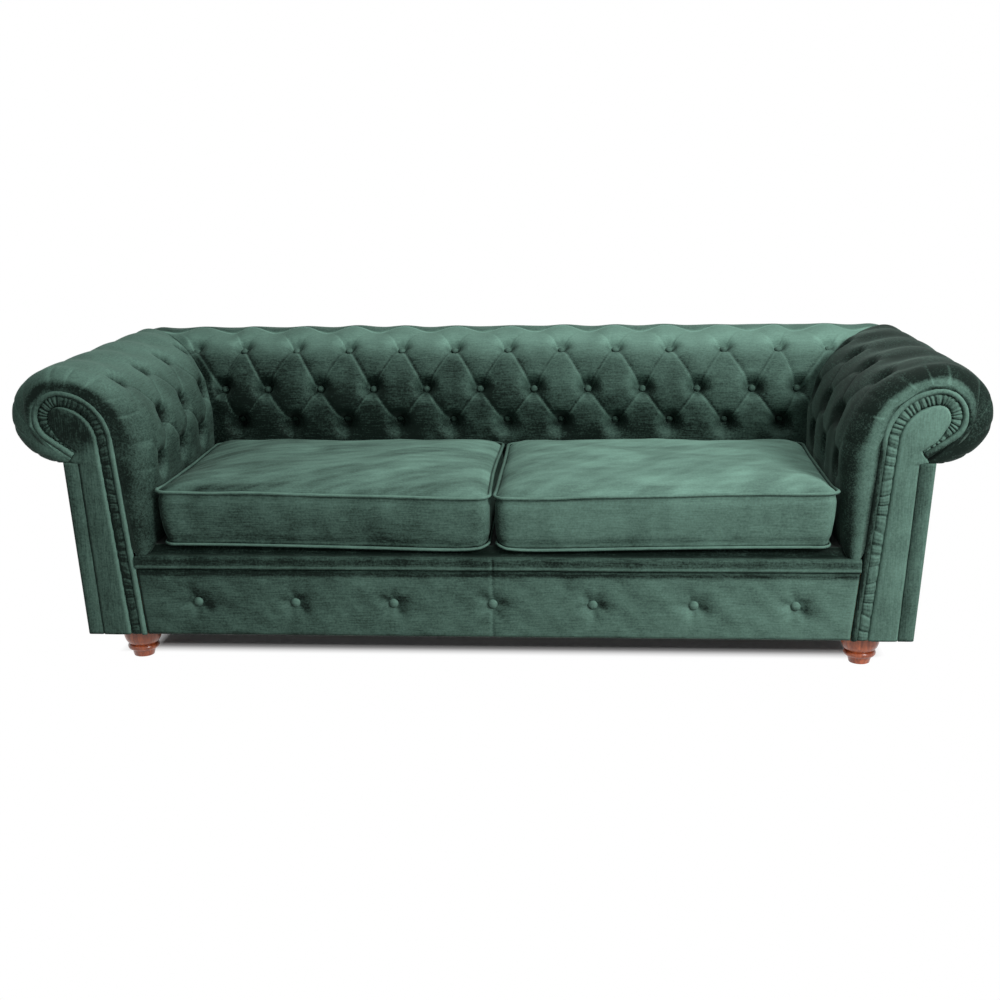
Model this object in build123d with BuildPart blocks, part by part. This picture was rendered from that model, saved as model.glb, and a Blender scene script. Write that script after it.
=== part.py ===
"""Three-seater scroll-arm sofa: buttoned arms and back, loose seat cushions, turned feet.

X runs along the sofa, Y from front to back, Z up; the origin is on the floor, in the middle of the plan.
"""

import os
from math import asin, atan2, cos, degrees, hypot, radians, sin, sqrt, tan

from build123d import *

# Overall sizes
width = 2200.0
depth = 900.0
height = 700.0
foot_height = 72.0

# Padded section shared by the arms and the back, measured outward from the seat
face_radius = 210.0
face_overhang = 5.0
roll_radius = 112.0
roll_end = -80.0
tuck_in = 6.0

# Scroll-shaped facing on the front of each arm
head_in = 196.0
head_drop = 113.0
head_radius = 64.0
head_facets = 3
shoulder_radius = 126.0
shoulder_facets = 3
crown_angle = 94.5
facing_foot_inner = 30.0
facing_foot_outer = 135.0
facing_neck_outer = 162.0
neck_in = 175.0
neck_drop = 205.0
facing_depth = 22.0
facing_proud = 3.0
facing_edge = 5.0
piping_radius = 7.0
ruche_width = 24.0
ruche_set_back = 6.0

# Buttoning
row_high_drop = 37.0
row_mid_drop = 138.0
row_low_drop = 243.0
button_sink = 40.0
high_button_sink = 24.0
pleat_sink = 22.0
high_pleat_sink = 15.0
diamond_sink = 7.0
pinch = 2.0
deck_pleat = 8.0
top_pleat = 14.0
side_pleat = 9.0
end_pleat = 4.0
roll_soften = 1.5
pleat_bulge = 3.0
between_bulge = 9.0
panel_bulge = 27.0
edge_bulge = 6.0
corner_bulge = 19.0
corner_sink = 8.0
back_pitch = 143.0
back_end_space = 60.0
arm_pitch = 173.0
arm_first = 115.0
arm_corner_mid = 35.0
arm_corner_high = 51.0
back_corner_mid = 23.0
back_corner_high = 64.0
front_edge_start = 6.0
front_edge_turn = 24.0
front_edge_full = 58.0
front_edge_grow = 10.0
front_edge_blend = 0.72
button_radius = 12.0
button_thick = 8.0
pocket_extra = 3.0
pocket_reach = 60.0

# Timber frame
board = 22.0
base_rail_height = 142.5
front_rail_height = 158.0
base_inset = 112.0
cross_rail_height = 100.0
cross_rail_at = 300.0
spring_rail_width = 28.0
spring_rail_height = 40.0
spring_rail_back = 25.0
block_width = 100.0
block_depth = 80.0
block_height = 35.0
foam_thick = 25.0
top_rail_width = 40.0
top_rail_height = 24.0
top_rail_rise = 32.0
tack_rail_height = 44.0
tack_rail_drop = 16.0
arm_rib_first = 300.0
arm_rib_second = 530.0
back_rib_pitch = 320.0
back_rib_count = 5
neck_step = 8.0
screw_radius = 2.5
screw_head_radius = 5.0
screw_head = 4.0
screw_length = 60.0
screw_low = 36.0
screw_high = 106.0

# Outside covers and underside
outside_foot = 174.0
outside_neck = 200.0
outside_drop = 11.0
cover_thick = 4.0
dust_cover_thick = 1.5
dust_cover_margin = 2.0

# Seat platform
spring_count = 9
spring_pitch = 172.0
spring_wire = 1.9
spring_half_width = 24.0
spring_bends = 12
spring_bend_radius = 14.0
clip_width = 20.0
clip_depth = 12.0
clip_height = 6.4
clip_base = 1.5
felt_thick = 3.0
deck_foam_thick = 54.0
deck_cloth_thick = 2.0
deck_margin = 6.0
lip_radius = 16.0
lip_under_radius = 8.0
panel_set_back = 4.0
panel_edge = 5.0
front_button_pitch = 229.0
front_button_count = 7
front_button_radius = 10.0
dimple_radius = 60.0
dimple_depth = 6.0
dimple_pocket = 5.0

# Loose seat cushions
cushion_clear = 2.5
cushion_apart = 3.0
cushion_front = 12.0
cushion_corner = 42.0
cushion_draw = 1.0
seam_rise = 6.0
border_height = 124.0
crown = 26.0
bottom_turn = 30.0
crown_step = 62.0
crown_share_low = 0.55
crown_share_mid = 0.86
cushion_piping = 5.0
seam_lap = 1.0
seam_draw = 2.0
cushion_skin = 17.0
cushion_skin_flat = 6.0
zip_length = 600.0
zip_recess_height = 30.0
zip_recess = 9.0
zip_slot = 4.0
zip_tape = 1.2
zip_teeth_height = 6.0
zip_teeth = 2.4
slider_length = 22.0
slider_height = 12.0
slider_thick = 4.3
slider_start = 8.0

# Turned feet and their fixings
foot_in = 64.0
foot_from_rail = 31.0
foot_base_radius = 24.0
foot_base_top_radius = 28.0
foot_base_height = 16.0
foot_ring_radius = 37.0
foot_ring_at = 23.0
foot_ring_top = 30.0
foot_neck_radius = 33.0
foot_ball_radius = 44.0
foot_ball_at = 52.0
foot_top_radius = 40.0
bolt_radius = 4.0
bolt_in_foot = 32.0
tee_flange_radius = 10.0
tee_flange = 1.5
tee_barrel_radius = 5.5
tee_barrel = 10.0

# Clearances
fit_gap = 0.3
slide_gap = 0.3

# Positions that follow from the sizes above
front = -depth / 2
roll_in = face_radius - face_overhang
section_depth = roll_in + roll_radius
seat_half = width / 2 - section_depth
seat_back = depth / 2 - section_depth
face_z = height - face_radius
roll_z = height - roll_radius
head_z = height - head_drop
shoulder_in = head_in - (shoulder_radius - head_radius) * cos(radians(crown_angle))
shoulder_z = head_z - (shoulder_radius - head_radius) * sin(radians(crown_angle))
neck_z = height - neck_drop
base_bottom = foot_height + dust_cover_thick
base_top = base_bottom + base_rail_height
front_rail_top = base_bottom + front_rail_height
clip_top = base_top + clip_height
felt_bottom = clip_top + fit_gap
deck_foam_bottom = felt_bottom + felt_thick + fit_gap
deck_cloth_bottom = deck_foam_bottom + deck_foam_thick + fit_gap
deck_top = deck_cloth_bottom + deck_cloth_thick
cover_bottom = deck_top + fit_gap
frame_front = front + facing_depth
frame_inner = frame_front + board
side_rail_x = seat_half + base_inset
back_rail_y = seat_back + base_inset
outside_top = neck_z - outside_drop
diagonal = sqrt(2.0)


def tangent_angle(start_t, start_z, run, rise, radius, side):
    """Direction from a point to where a line just touches a circle; side is +1 left, -1 right."""
    reach = hypot(run - start_t, rise - start_z)
    return atan2(rise - start_z, run - start_t) + side * asin(radius / reach)


lean = tangent_angle(facing_foot_inner, foot_height, shoulder_in, shoulder_z, shoulder_radius, 1)
under = tangent_angle(neck_in, neck_z, head_in, head_z, head_radius, -1)
turn_in = degrees(lean) + 90
turn_under = degrees(under) - 90
turn_middle = (turn_in + turn_under) / 2
shoulder_facet = (turn_in - crown_angle) / shoulder_facets
head_facet = (crown_angle - turn_under) / head_facets


def head_point(angle, inset, spread=0):
    """Point on the scroll's head at an angle in degrees, drawn in by an inset.

    The shoulder's large arc runs into the head's small one at the crown; a spread in degrees moves the
    point out to the corner of a flat facet of that spread.
    """
    if angle > crown_angle:
        reach = (shoulder_radius - inset) / cos(radians(spread / 2))
        return (shoulder_in + reach * cos(radians(angle)), shoulder_z + reach * sin(radians(angle)))
    reach = (head_radius - inset) / cos(radians(spread / 2))
    return (head_in + reach * cos(radians(angle)), head_z + reach * sin(radians(angle)))


def inner_line(z, inset):
    """Point at height z on the facing's seat-side edge, drawn in by an inset."""
    touch_t, touch_z = head_point(turn_in, inset)
    return (touch_t + (z - touch_z) / tan(lean), z)


def neck_point(inset):
    """End of the scroll's edge under the roll, drawn in by an inset."""
    return (neck_in - inset * sin(under), neck_z + inset * cos(under))


def scroll_corners(inset, z):
    """Scroll outline in flat facets, from height z on the seat side, over the head, to the neck."""
    corners = [inner_line(z, inset)]
    for step in range(shoulder_facets):
        corners.append(head_point(turn_in - (step + 0.5) * shoulder_facet, inset, shoulder_facet))
    for step in range(head_facets):
        corners.append(head_point(crown_angle - (step + 0.5) * head_facet, inset, head_facet))
    corners.append(neck_point(inset))
    return corners


def facing_outer(z):
    """Distance out of the facing's outer edge at height z."""
    share = (z - foot_height) / (neck_z - foot_height)
    return facing_foot_outer + (facing_neck_outer - facing_foot_outer) * share


def outside(z):
    """Distance out of the outside cover's face at height z."""
    share = (z - foot_height) / (outside_top - foot_height)
    return outside_foot + (outside_neck - outside_foot) * share


def board_corners(z):
    """Outline of a scroll board or rib from height z up, inside the foam and the outside cover."""
    skin = cover_thick + fit_gap
    low_shoulder = outside_top - neck_step / 2
    corners = scroll_corners(foam_thick + fit_gap, z)
    corners.append((neck_in - neck_step, neck_z - neck_step))
    corners.append((outside(low_shoulder) - skin, low_shoulder))
    corners.append((outside(z) - skin, z))
    return corners


def face_point(angle, sink):
    """Point on the large inside curve of the padding, sunk below its fullest line."""
    reach = face_radius - sink
    return (roll_in + reach * cos(radians(angle)), face_z + reach * sin(radians(angle)))


def roll_point(angle, sink):
    """Point on the roll, sunk below its fullest line."""
    reach = roll_radius - sink
    return (roll_in + reach * cos(radians(angle)), roll_z + reach * sin(radians(angle)))


def row_angle(drop):
    """Angle on the inside curve of a button row that lies a given drop below the top."""
    return 180 - degrees(asin((height - drop - face_z) / face_radius))


row_high = row_angle(row_high_drop)
row_mid = row_angle(row_mid_drop)
row_low = row_angle(row_low_drop)


def middle_of(first, last, bulge):
    """Middle of two points, pushed towards the seat by a bulge."""
    return ((first[0] + last[0]) / 2 - bulge, (first[1] + last[1]) / 2)


def crest_to_top(start, top):
    """Middle of the arc that leaves a pleat and runs level into the top of the roll."""
    run = top[0] - start[0]
    rise = top[1] - start[1]
    radius = (run**2 + rise**2) / (2 * rise)
    half = atan2(run, radius - rise) / 2
    return (top[0] - radius * sin(half), top[1] - radius + radius * cos(half))


def tuft_arcs(low, high, low_sink, high_sink, middle_sink, deck_share, roll_share, bulge, drop):
    """Arcs of one padded section: panel, diamond, crest, roll side and roll underside.

    The pleats cross the section at the low and high angles; the shares, from 0 to 1, say how far the
    section lies in a pleat down to the deck and in a pleat over the roll, bulge swells the panel below
    the diamond and drop sinks the whole section.
    """
    deck = (tuck_in + deck_pleat * deck_share + drop, cover_bottom)
    first = face_point(low, low_sink)
    second = face_point(high, high_sink)
    top = face_point(90, top_pleat * roll_share + drop)
    side = roll_point(0, side_pleat * roll_share + drop)
    end = roll_point(roll_end, end_pleat * roll_share)
    shoulder = roll_point(45, (top_pleat + side_pleat) * roll_share / 2 + drop)
    below = roll_point(roll_end / 2, (side_pleat + end_pleat) * roll_share / 2 + drop / 2 + roll_soften)
    return [
        (deck, middle_of(deck, first, bulge), first),
        (first, face_point((low + high) / 2, middle_sink), second),
        (second, crest_to_top(second, top), top),
        (top, shoulder, side),
        (side, below, end),
    ]


def pleat_column():
    """Section through the buttons of the high and low rows."""
    return tuft_arcs(row_low, row_high, button_sink, high_button_sink, 0, 1, 0, pleat_bulge, 0)


def crest_column(bulge, drop):
    """Section through a button of the middle row."""
    low = row_mid + pinch
    high = row_mid - pinch
    return tuft_arcs(low, high, button_sink, button_sink, button_sink, 0, 1, bulge, drop)


def between_columns():
    """Section half way between two columns, where the diagonal pleats cross."""
    low = (row_low + row_mid) / 2
    high = (row_mid + row_high) / 2
    return tuft_arcs(low, high, pleat_sink, high_pleat_sink, diamond_sink, 0.5, 0.5, between_bulge, 0)


def facing_edge_arcs():
    """Section where the padding meets the facing's piping."""
    grow = -front_edge_grow
    deck = inner_line(cover_bottom, grow)
    first = inner_line(height - row_low_drop, grow)
    waist = inner_line((height - row_low_drop + head_z) / 2, grow)
    second = head_point(turn_in - shoulder_facet / 2, grow)
    top = head_point((turn_middle + 90) / 2, grow)
    side = head_point(0, grow)
    end = neck_point(grow)
    return [
        (deck, middle_of(deck, first, pleat_bulge), first),
        (first, waist, second),
        (second, head_point((turn_in + turn_middle) / 2, grow), top),
        (top, head_point((turn_middle + 90) / 4, grow - roll_soften), side),
        (side, head_point(turn_under + head_facet / 2, grow), end),
    ]


def blend_arcs(first, last, share):
    """Arcs part of the way from one section to another."""
    blended = []
    for start_arc, end_arc in zip(first, last):
        arc = []
        for start, end in zip(start_arc, end_arc):
            arc.append((start[0] + (end[0] - start[0]) * share, start[1] + (end[1] - start[1]) * share))
        blended.append(arc)
    return blended


def draw_padded(arcs, stretch):
    """Draws one padded section: the outer arcs, then the faceted inner side."""
    for start, middle, end in arcs:
        ThreePointArc(*[(t * stretch, z) for t, z in (start, middle, end)])
    inner = scroll_corners(-fit_gap, cover_bottom)
    inner.reverse()
    corners = [arcs[-1][2]] + inner + [arcs[0][0]]
    Polyline([(t * stretch, z) for t, z in corners])


def draw_foam(stretch):
    """Draws the foam layer that wraps the frame's scroll."""
    outer = scroll_corners(0, cover_bottom)
    inner = scroll_corners(foam_thick, cover_bottom)
    inner.reverse()
    Polyline([(t * stretch, z) for t, z in outer + inner], close=True)


def draw_scroll_edge(inset, foot):
    """Draws the facing's edge as a line, two arcs and a line, drawn in by an inset."""
    touch = head_point(turn_in, inset)
    crown = head_point(crown_angle, inset)
    leave = head_point(turn_under, inset)
    Line(inner_line(foot, inset), touch)
    ThreePointArc(touch, head_point((turn_in + crown_angle) / 2, inset), crown)
    ThreePointArc(crown, head_point((crown_angle + turn_under) / 2, inset), leave)
    Line(leave, neck_point(inset))


def arm_plane(y):
    """Section plane across the right arm, with the distance out from the seat as its first axis."""
    return Plane(origin=(seat_half, y, 0), x_dir=(1, 0, 0), z_dir=(0, -1, 0))


def back_plane(x):
    """Section plane across the back, with the distance out from the seat as its first axis."""
    return Plane(origin=(x, seat_back, 0), x_dir=(0, 1, 0), z_dir=(1, 0, 0))


def corner_plane(side):
    """Mitre plane between the back and the right arm (+1) or the left arm (-1)."""
    return Plane(origin=(side * seat_half, seat_back, 0), x_dir=(side, 1, 0), z_dir=(1, -side, 0))


def save(piece, name):
    """Labels a finished piece and writes it."""
    piece.part.label = name
    export_step(piece.part, f"parts/{name}.step")


def save_pair(piece, name):
    """Writes a right-hand piece and its mirror image for the left."""
    save(piece, f"{name}_right")
    with BuildPart() as twin:
        mirror(piece.part, about=Plane.YZ)
    save(twin, f"{name}_left")


os.makedirs("parts", exist_ok=True)

# Columns of buttons along the back and along the arm
back_half_count = int((seat_half - back_end_space) / back_pitch)
back_columns = [index * back_pitch for index in range(-back_half_count, back_half_count + 1)]
back_crests = [(index + 0.5) * back_pitch for index in range(-back_half_count, back_half_count)]
arm_count = 1 + int((seat_back - front - arm_first - back_end_space) / arm_pitch)
arm_columns = [front + arm_first + index * arm_pitch for index in range(arm_count)]
arm_crests = [front + arm_first + (index + 0.5) * arm_pitch for index in range(arm_count - 1)]
arm_last_between = (arm_columns[-1] + seat_back) / 2
back_last_between = (back_columns[-1] + seat_half) / 2


def arm_section_list():
    """Planes, stretches and arcs of the right arm's padding, from the facing to the mitre."""
    edge = facing_edge_arcs()
    full = tuft_arcs(row_low, row_high, pleat_bulge, pleat_bulge, 0, 0, 0, edge_bulge, pleat_bulge)
    turn = blend_arcs(edge, full, front_edge_blend)
    sections = [(arm_plane(front + front_edge_start), 1, edge)]
    sections.append((arm_plane(front + front_edge_turn), 1, turn))
    sections.append((arm_plane(front + front_edge_full), 1, full))
    for index, y in enumerate(arm_columns):
        sections.append((arm_plane(y), 1, pleat_column()))
        if index < len(arm_crests):
            sections.append((arm_plane(y + arm_pitch / 4), 1, between_columns()))
            sections.append((arm_plane(y + arm_pitch / 2), 1, crest_column(panel_bulge, 0)))
            sections.append((arm_plane(y + arm_pitch * 3 / 4), 1, between_columns()))
    sections.append((arm_plane(arm_last_between), 1, between_columns()))
    sections.append((corner_plane(1), diagonal, crest_column(corner_bulge, corner_sink)))
    return sections


def back_section_list():
    """Planes, stretches and arcs of the back's padding, from the left mitre to the right one."""
    sections = [(corner_plane(-1), diagonal, crest_column(corner_bulge, corner_sink))]
    sections.append((back_plane(-back_last_between), 1, between_columns()))
    for index, x in enumerate(back_columns):
        sections.append((back_plane(x), 1, pleat_column()))
        if index < len(back_crests):
            sections.append((back_plane(x + back_pitch / 4), 1, between_columns()))
            sections.append((back_plane(x + back_pitch / 2), 1, crest_column(panel_bulge, 0)))
            sections.append((back_plane(x + back_pitch * 3 / 4), 1, between_columns()))
    sections.append((back_plane(back_last_between), 1, between_columns()))
    sections.append((corner_plane(1), diagonal, crest_column(corner_bulge, corner_sink)))
    return sections


def arm_button_plane(y, angle, sink):
    """Seat of one button on the right arm, facing out of the padding."""
    t, z = face_point(angle, sink + pocket_extra)
    outward = (cos(radians(angle)), 0, sin(radians(angle)))
    return Plane(origin=(seat_half + t, y, z), x_dir=(0, 1, 0), z_dir=outward)


def back_button_plane(x, angle, sink):
    """Seat of one button on the back, facing out of the padding."""
    t, z = face_point(angle, sink + pocket_extra)
    outward = (0, cos(radians(angle)), sin(radians(angle)))
    return Plane(origin=(x, seat_back + t, z), x_dir=(1, 0, 0), z_dir=outward)


arm_button_seats = [arm_button_plane(y, row_low, button_sink) for y in arm_columns]
arm_button_seats += [arm_button_plane(y, row_high, high_button_sink) for y in arm_columns]
arm_button_seats += [arm_button_plane(y, row_mid, button_sink) for y in arm_crests]
arm_button_seats.append(arm_button_plane(seat_back - arm_corner_mid, row_mid, button_sink))
arm_button_seats.append(arm_button_plane(seat_back + arm_corner_high, row_high, high_button_sink))
back_button_seats = [back_button_plane(x, row_low, button_sink) for x in back_columns]
back_button_seats += [back_button_plane(x, row_high, high_button_sink) for x in back_columns]
back_button_seats += [back_button_plane(x, row_mid, button_sink) for x in back_crests]
for side in (-1, 1):
    corner_mid = side * (seat_half - back_corner_mid)
    corner_high = side * (seat_half + back_corner_high)
    back_button_seats.append(back_button_plane(corner_mid, row_mid, button_sink))
    back_button_seats.append(back_button_plane(corner_high, row_high, high_button_sink))

# Buttoned padding of the arms and the back
with BuildPart() as inside_arm_cover:
    for plane, stretch, arcs in arm_section_list():
        with BuildSketch(plane):
            with BuildLine():
                draw_padded(arcs, stretch)
            make_face()
    loft(ruled=True)
    with Locations(*arm_button_seats):
        Cylinder(
            button_radius + fit_gap,
            pocket_reach,
            align=(Align.CENTER, Align.CENTER, Align.MIN),
            mode=Mode.SUBTRACT,
        )
save_pair(inside_arm_cover, "inside_arm_cover")

with BuildPart() as inside_back_cover:
    for plane, stretch, arcs in back_section_list():
        with BuildSketch(plane):
            with BuildLine():
                draw_padded(arcs, stretch)
            make_face()
    loft(ruled=True)
    with Locations(*back_button_seats):
        Cylinder(
            button_radius + fit_gap,
            pocket_reach,
            align=(Align.CENTER, Align.CENTER, Align.MIN),
            mode=Mode.SUBTRACT,
        )
save(inside_back_cover, "inside_back_cover")

button_side = button_thick / 3
dome_middle = crest_to_top((-button_radius, button_side), (0, button_thick))
with BuildPart() as button:
    with BuildSketch(Plane.XZ):
        with BuildLine():
            Line((0, fit_gap), (button_radius, fit_gap))
            Line((button_radius, fit_gap), (button_radius, button_side))
            ThreePointArc((button_radius, button_side), (-dome_middle[0], dome_middle[1]), (0, button_thick))
            Line((0, button_thick), (0, fit_gap))
        make_face()
    revolve(axis=Axis.Z)

with BuildPart() as arm_buttons:
    with Locations(*arm_button_seats):
        add(button.part)
save_pair(arm_buttons, "arm_buttons")

with BuildPart() as back_buttons:
    with Locations(*back_button_seats):
        add(button.part)
save(back_buttons, "back_buttons")

# Foam between the padding and the frame
with BuildPart() as arm_foam:
    for plane, stretch in ((arm_plane(frame_front), 1), (corner_plane(1), diagonal)):
        with BuildSketch(plane):
            with BuildLine():
                draw_foam(stretch)
            make_face()
    loft(ruled=True)
save_pair(arm_foam, "arm_foam")

with BuildPart() as back_foam:
    for plane in (corner_plane(-1), corner_plane(1)):
        with BuildSketch(plane):
            with BuildLine():
                draw_foam(diagonal)
            make_face()
    loft(ruled=True)
save(back_foam, "back_foam")

# Rails inside the arms and the back
top_rail_z = head_z + top_rail_rise
top_rail_t = head_in - top_rail_width / 2
tack_rail_z = outside_top - tack_rail_drop
tack_rail_t = outside(tack_rail_z - tack_rail_height) - cover_thick - fit_gap - board
arm_rail_start = frame_front
corner_low = (Align.MIN, Align.MIN, Align.MAX)

with BuildPart() as arm_rails:
    with Locations((seat_half + top_rail_t, arm_rail_start, top_rail_z)):
        Box(
            top_rail_width,
            seat_back + top_rail_t + top_rail_width - arm_rail_start,
            top_rail_height,
            align=corner_low,
        )
    with Locations((seat_half + tack_rail_t, arm_rail_start, tack_rail_z)):
        Box(board, seat_back + tack_rail_t + board - arm_rail_start, tack_rail_height, align=corner_low)
save_pair(arm_rails, "arm_rails")

with BuildPart() as back_rails:
    with Locations((0, seat_back + top_rail_t, top_rail_z)):
        Box(
            2 * (seat_half + top_rail_t - fit_gap),
            top_rail_width,
            top_rail_height,
            align=(Align.CENTER, Align.MIN, Align.MAX),
        )
    with Locations((0, seat_back + tack_rail_t, tack_rail_z)):
        Box(
            2 * (seat_half + tack_rail_t - fit_gap),
            board,
            tack_rail_height,
            align=(Align.CENTER, Align.MIN, Align.MAX),
        )
save(back_rails, "back_rails")


def draw_notches():
    """Draws the notches that a scroll board needs for the top rail and the tack rail."""
    notch_align = (Align.MIN, Align.MAX)
    with Locations((top_rail_t - fit_gap, top_rail_z + head_radius)):
        Rectangle(top_rail_width + 2 * fit_gap, top_rail_height + head_radius + fit_gap, align=notch_align)
    with Locations((tack_rail_t - fit_gap, tack_rail_z + fit_gap)):
        Rectangle(board + outside_foot, tack_rail_height + 2 * fit_gap, align=notch_align)


# Scroll boards and ribs
side_screw_t = base_inset + board / 2
side_screw_heights = (base_bottom + screw_low, base_bottom + screw_high)
board_screws = [
    Plane(origin=(seat_half + side_screw_t, frame_front, z), x_dir=(1, 0, 0), z_dir=(0, 1, 0))
    for z in side_screw_heights
]
rail_screws = [
    Plane(origin=(side_rail_x + board, back_rail_y + board / 2, z), x_dir=(0, 1, 0), z_dir=(-1, 0, 0))
    for z in side_screw_heights
]
centre_low = (Align.CENTER, Align.CENTER, Align.MIN)

with BuildPart() as arm_front_board:
    with BuildSketch(arm_plane(frame_front)):
        with BuildLine():
            Polyline(board_corners(base_bottom), close=True)
        make_face()
    extrude(amount=-board)
    with BuildSketch(arm_plane(frame_front)):
        draw_notches()
    extrude(amount=-board, mode=Mode.SUBTRACT)
    with Locations(*board_screws):
        Cylinder(screw_radius + fit_gap, board, align=centre_low, mode=Mode.SUBTRACT)
        Cylinder(screw_head_radius + fit_gap, screw_head + fit_gap, align=centre_low, mode=Mode.SUBTRACT)
save_pair(arm_front_board, "arm_front_board")

with BuildPart() as arm_ribs:
    for rib_y in (front + arm_rib_first, front + arm_rib_second):
        with BuildSketch(arm_plane(rib_y)):
            with BuildLine():
                Polyline(board_corners(base_top), close=True)
            make_face()
        extrude(amount=-board)
        with BuildSketch(arm_plane(rib_y)):
            draw_notches()
        extrude(amount=-board, mode=Mode.SUBTRACT)
save_pair(arm_ribs, "arm_ribs")

with BuildPart() as back_ribs:
    for index in range(back_rib_count):
        rib_x = (index - (back_rib_count - 1) / 2) * back_rib_pitch
        with BuildSketch(back_plane(rib_x - board / 2)):
            with BuildLine():
                Polyline(board_corners(base_top), close=True)
            make_face()
        extrude(amount=board)
        with BuildSketch(back_plane(rib_x - board / 2)):
            draw_notches()
        extrude(amount=board, mode=Mode.SUBTRACT)
save(back_ribs, "back_ribs")

# Base box
front_rail_half = seat_half + inner_line(base_bottom, foam_thick)[0] - fit_gap
base_align = (Align.CENTER, Align.MIN, Align.MIN)

with BuildPart() as front_rail:
    with Locations((0, frame_front, base_bottom)):
        Box(2 * front_rail_half, board, front_rail_height, align=base_align)
save(front_rail, "front_rail")

with BuildPart() as back_rail:
    with Locations((0, back_rail_y, base_bottom)):
        Box(2 * side_rail_x, board, base_rail_height, align=base_align)
    for side in (1, -1):
        for z in side_screw_heights:
            rail_end = (side * side_rail_x, back_rail_y + board / 2, z)
            with Locations(Plane(origin=rail_end, z_dir=(-side, 0, 0))):
                Cylinder(screw_radius + fit_gap, screw_length - board, align=centre_low, mode=Mode.SUBTRACT)
save(back_rail, "back_rail")

with BuildPart() as side_rail:
    with Locations((side_rail_x, frame_inner, base_bottom)):
        Box(
            board,
            back_rail_y + board - frame_inner,
            base_rail_height,
            align=(Align.MIN, Align.MIN, Align.MIN),
        )
    with Locations(*rail_screws):
        Cylinder(screw_radius + fit_gap, board, align=centre_low, mode=Mode.SUBTRACT)
        Cylinder(screw_head_radius + fit_gap, screw_head + fit_gap, align=centre_low, mode=Mode.SUBTRACT)
    with Locations(*board_screws):
        Cylinder(screw_radius + fit_gap, screw_length, align=centre_low, mode=Mode.SUBTRACT)
save_pair(side_rail, "side_rail")

with BuildPart() as frame_screws:
    with Locations(*board_screws, *rail_screws):
        Cylinder(screw_radius, screw_length - fit_gap, align=centre_low)
        Cylinder(screw_head_radius, screw_head, align=centre_low)
    mirror(about=Plane.YZ)
save(frame_screws, "frame_screws")

with BuildPart() as cross_rails:
    for side in (1, -1):
        with Locations((side * cross_rail_at, frame_inner, base_bottom)):
            Box(board, back_rail_y - frame_inner, cross_rail_height, align=base_align)
save(cross_rails, "cross_rails")

spring_rear_y = seat_back + spring_rail_back
with BuildPart() as spring_rails:
    for rail_y in (frame_inner, spring_rear_y):
        with Locations((0, rail_y, base_top)):
            Box(
                2 * side_rail_x,
                spring_rail_width,
                spring_rail_height,
                align=(Align.CENTER, Align.MIN, Align.MAX),
            )
save(spring_rails, "spring_rails")

# Turned feet, bolts and corner blocks
foot_x = seat_half + foot_in
foot_front_y = frame_inner + foot_from_rail
foot_rear_y = back_rail_y - foot_from_rail
foot_places = [(x, y) for x in (foot_x, -foot_x) for y in (foot_front_y, foot_rear_y)]
block_top = base_bottom + block_height

with BuildPart() as corner_blocks:
    for side in (1, -1):
        for block_y in (frame_inner, back_rail_y - block_depth):
            with Locations((side * (side_rail_x - block_width / 2), block_y, base_bottom)):
                Box(block_width, block_depth, block_height, align=base_align)
    for x, y in foot_places:
        with Locations((x, y, base_bottom)):
            Cylinder(bolt_radius + fit_gap, block_height, align=centre_low, mode=Mode.SUBTRACT)
        with Locations((x, y, block_top - tee_barrel - fit_gap)):
            Cylinder(tee_barrel_radius + fit_gap, block_height, align=centre_low, mode=Mode.SUBTRACT)
save(corner_blocks, "corner_blocks")

with BuildPart() as tee_nuts:
    for x, y in foot_places:
        with Locations((x, y, block_top + fit_gap)):
            Cylinder(tee_flange_radius, tee_flange, align=centre_low)
        with Locations((x, y, block_top - tee_barrel)):
            Cylinder(tee_barrel_radius, tee_barrel + fit_gap, align=centre_low)
    for x, y in foot_places:
        with Locations((x, y, base_bottom)):
            Cylinder(bolt_radius + fit_gap, 2 * block_height, align=centre_low, mode=Mode.SUBTRACT)
save(tee_nuts, "tee_nuts")

with BuildPart() as foot_bolts:
    for x, y in foot_places:
        with Locations((x, y, foot_height - bolt_in_foot)):
            Cylinder(bolt_radius, block_top + tee_flange - foot_height + bolt_in_foot, align=centre_low)
save(foot_bolts, "foot_bolts")

foot_bore_floor = foot_height - bolt_in_foot - fit_gap
with BuildPart() as foot:
    with BuildSketch(Plane.XZ):
        with BuildLine():
            Line((0, 0), (foot_base_radius, 0))
            Line((foot_base_radius, 0), (foot_base_top_radius, foot_base_height))
            ThreePointArc(
                (foot_base_top_radius, foot_base_height),
                (foot_ring_radius, foot_ring_at),
                (foot_neck_radius, foot_ring_top),
            )
            ThreePointArc(
                (foot_neck_radius, foot_ring_top),
                (foot_ball_radius, foot_ball_at),
                (foot_top_radius, foot_height),
            )
            Line((foot_top_radius, foot_height), (bolt_radius + fit_gap, foot_height))
            Line((bolt_radius + fit_gap, foot_height), (bolt_radius + fit_gap, foot_bore_floor))
            Line((bolt_radius + fit_gap, foot_bore_floor), (0, foot_bore_floor))
            Line((0, foot_bore_floor), (0, 0))
        make_face()
    revolve(axis=Axis.Z)

with BuildPart() as foot_front:
    with Locations((foot_x, foot_front_y, 0)):
        add(foot.part)
save_pair(foot_front, "foot_front")

with BuildPart() as foot_rear:
    with Locations((foot_x, foot_rear_y, 0)):
        add(foot.part)
save_pair(foot_rear, "foot_rear")

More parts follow.
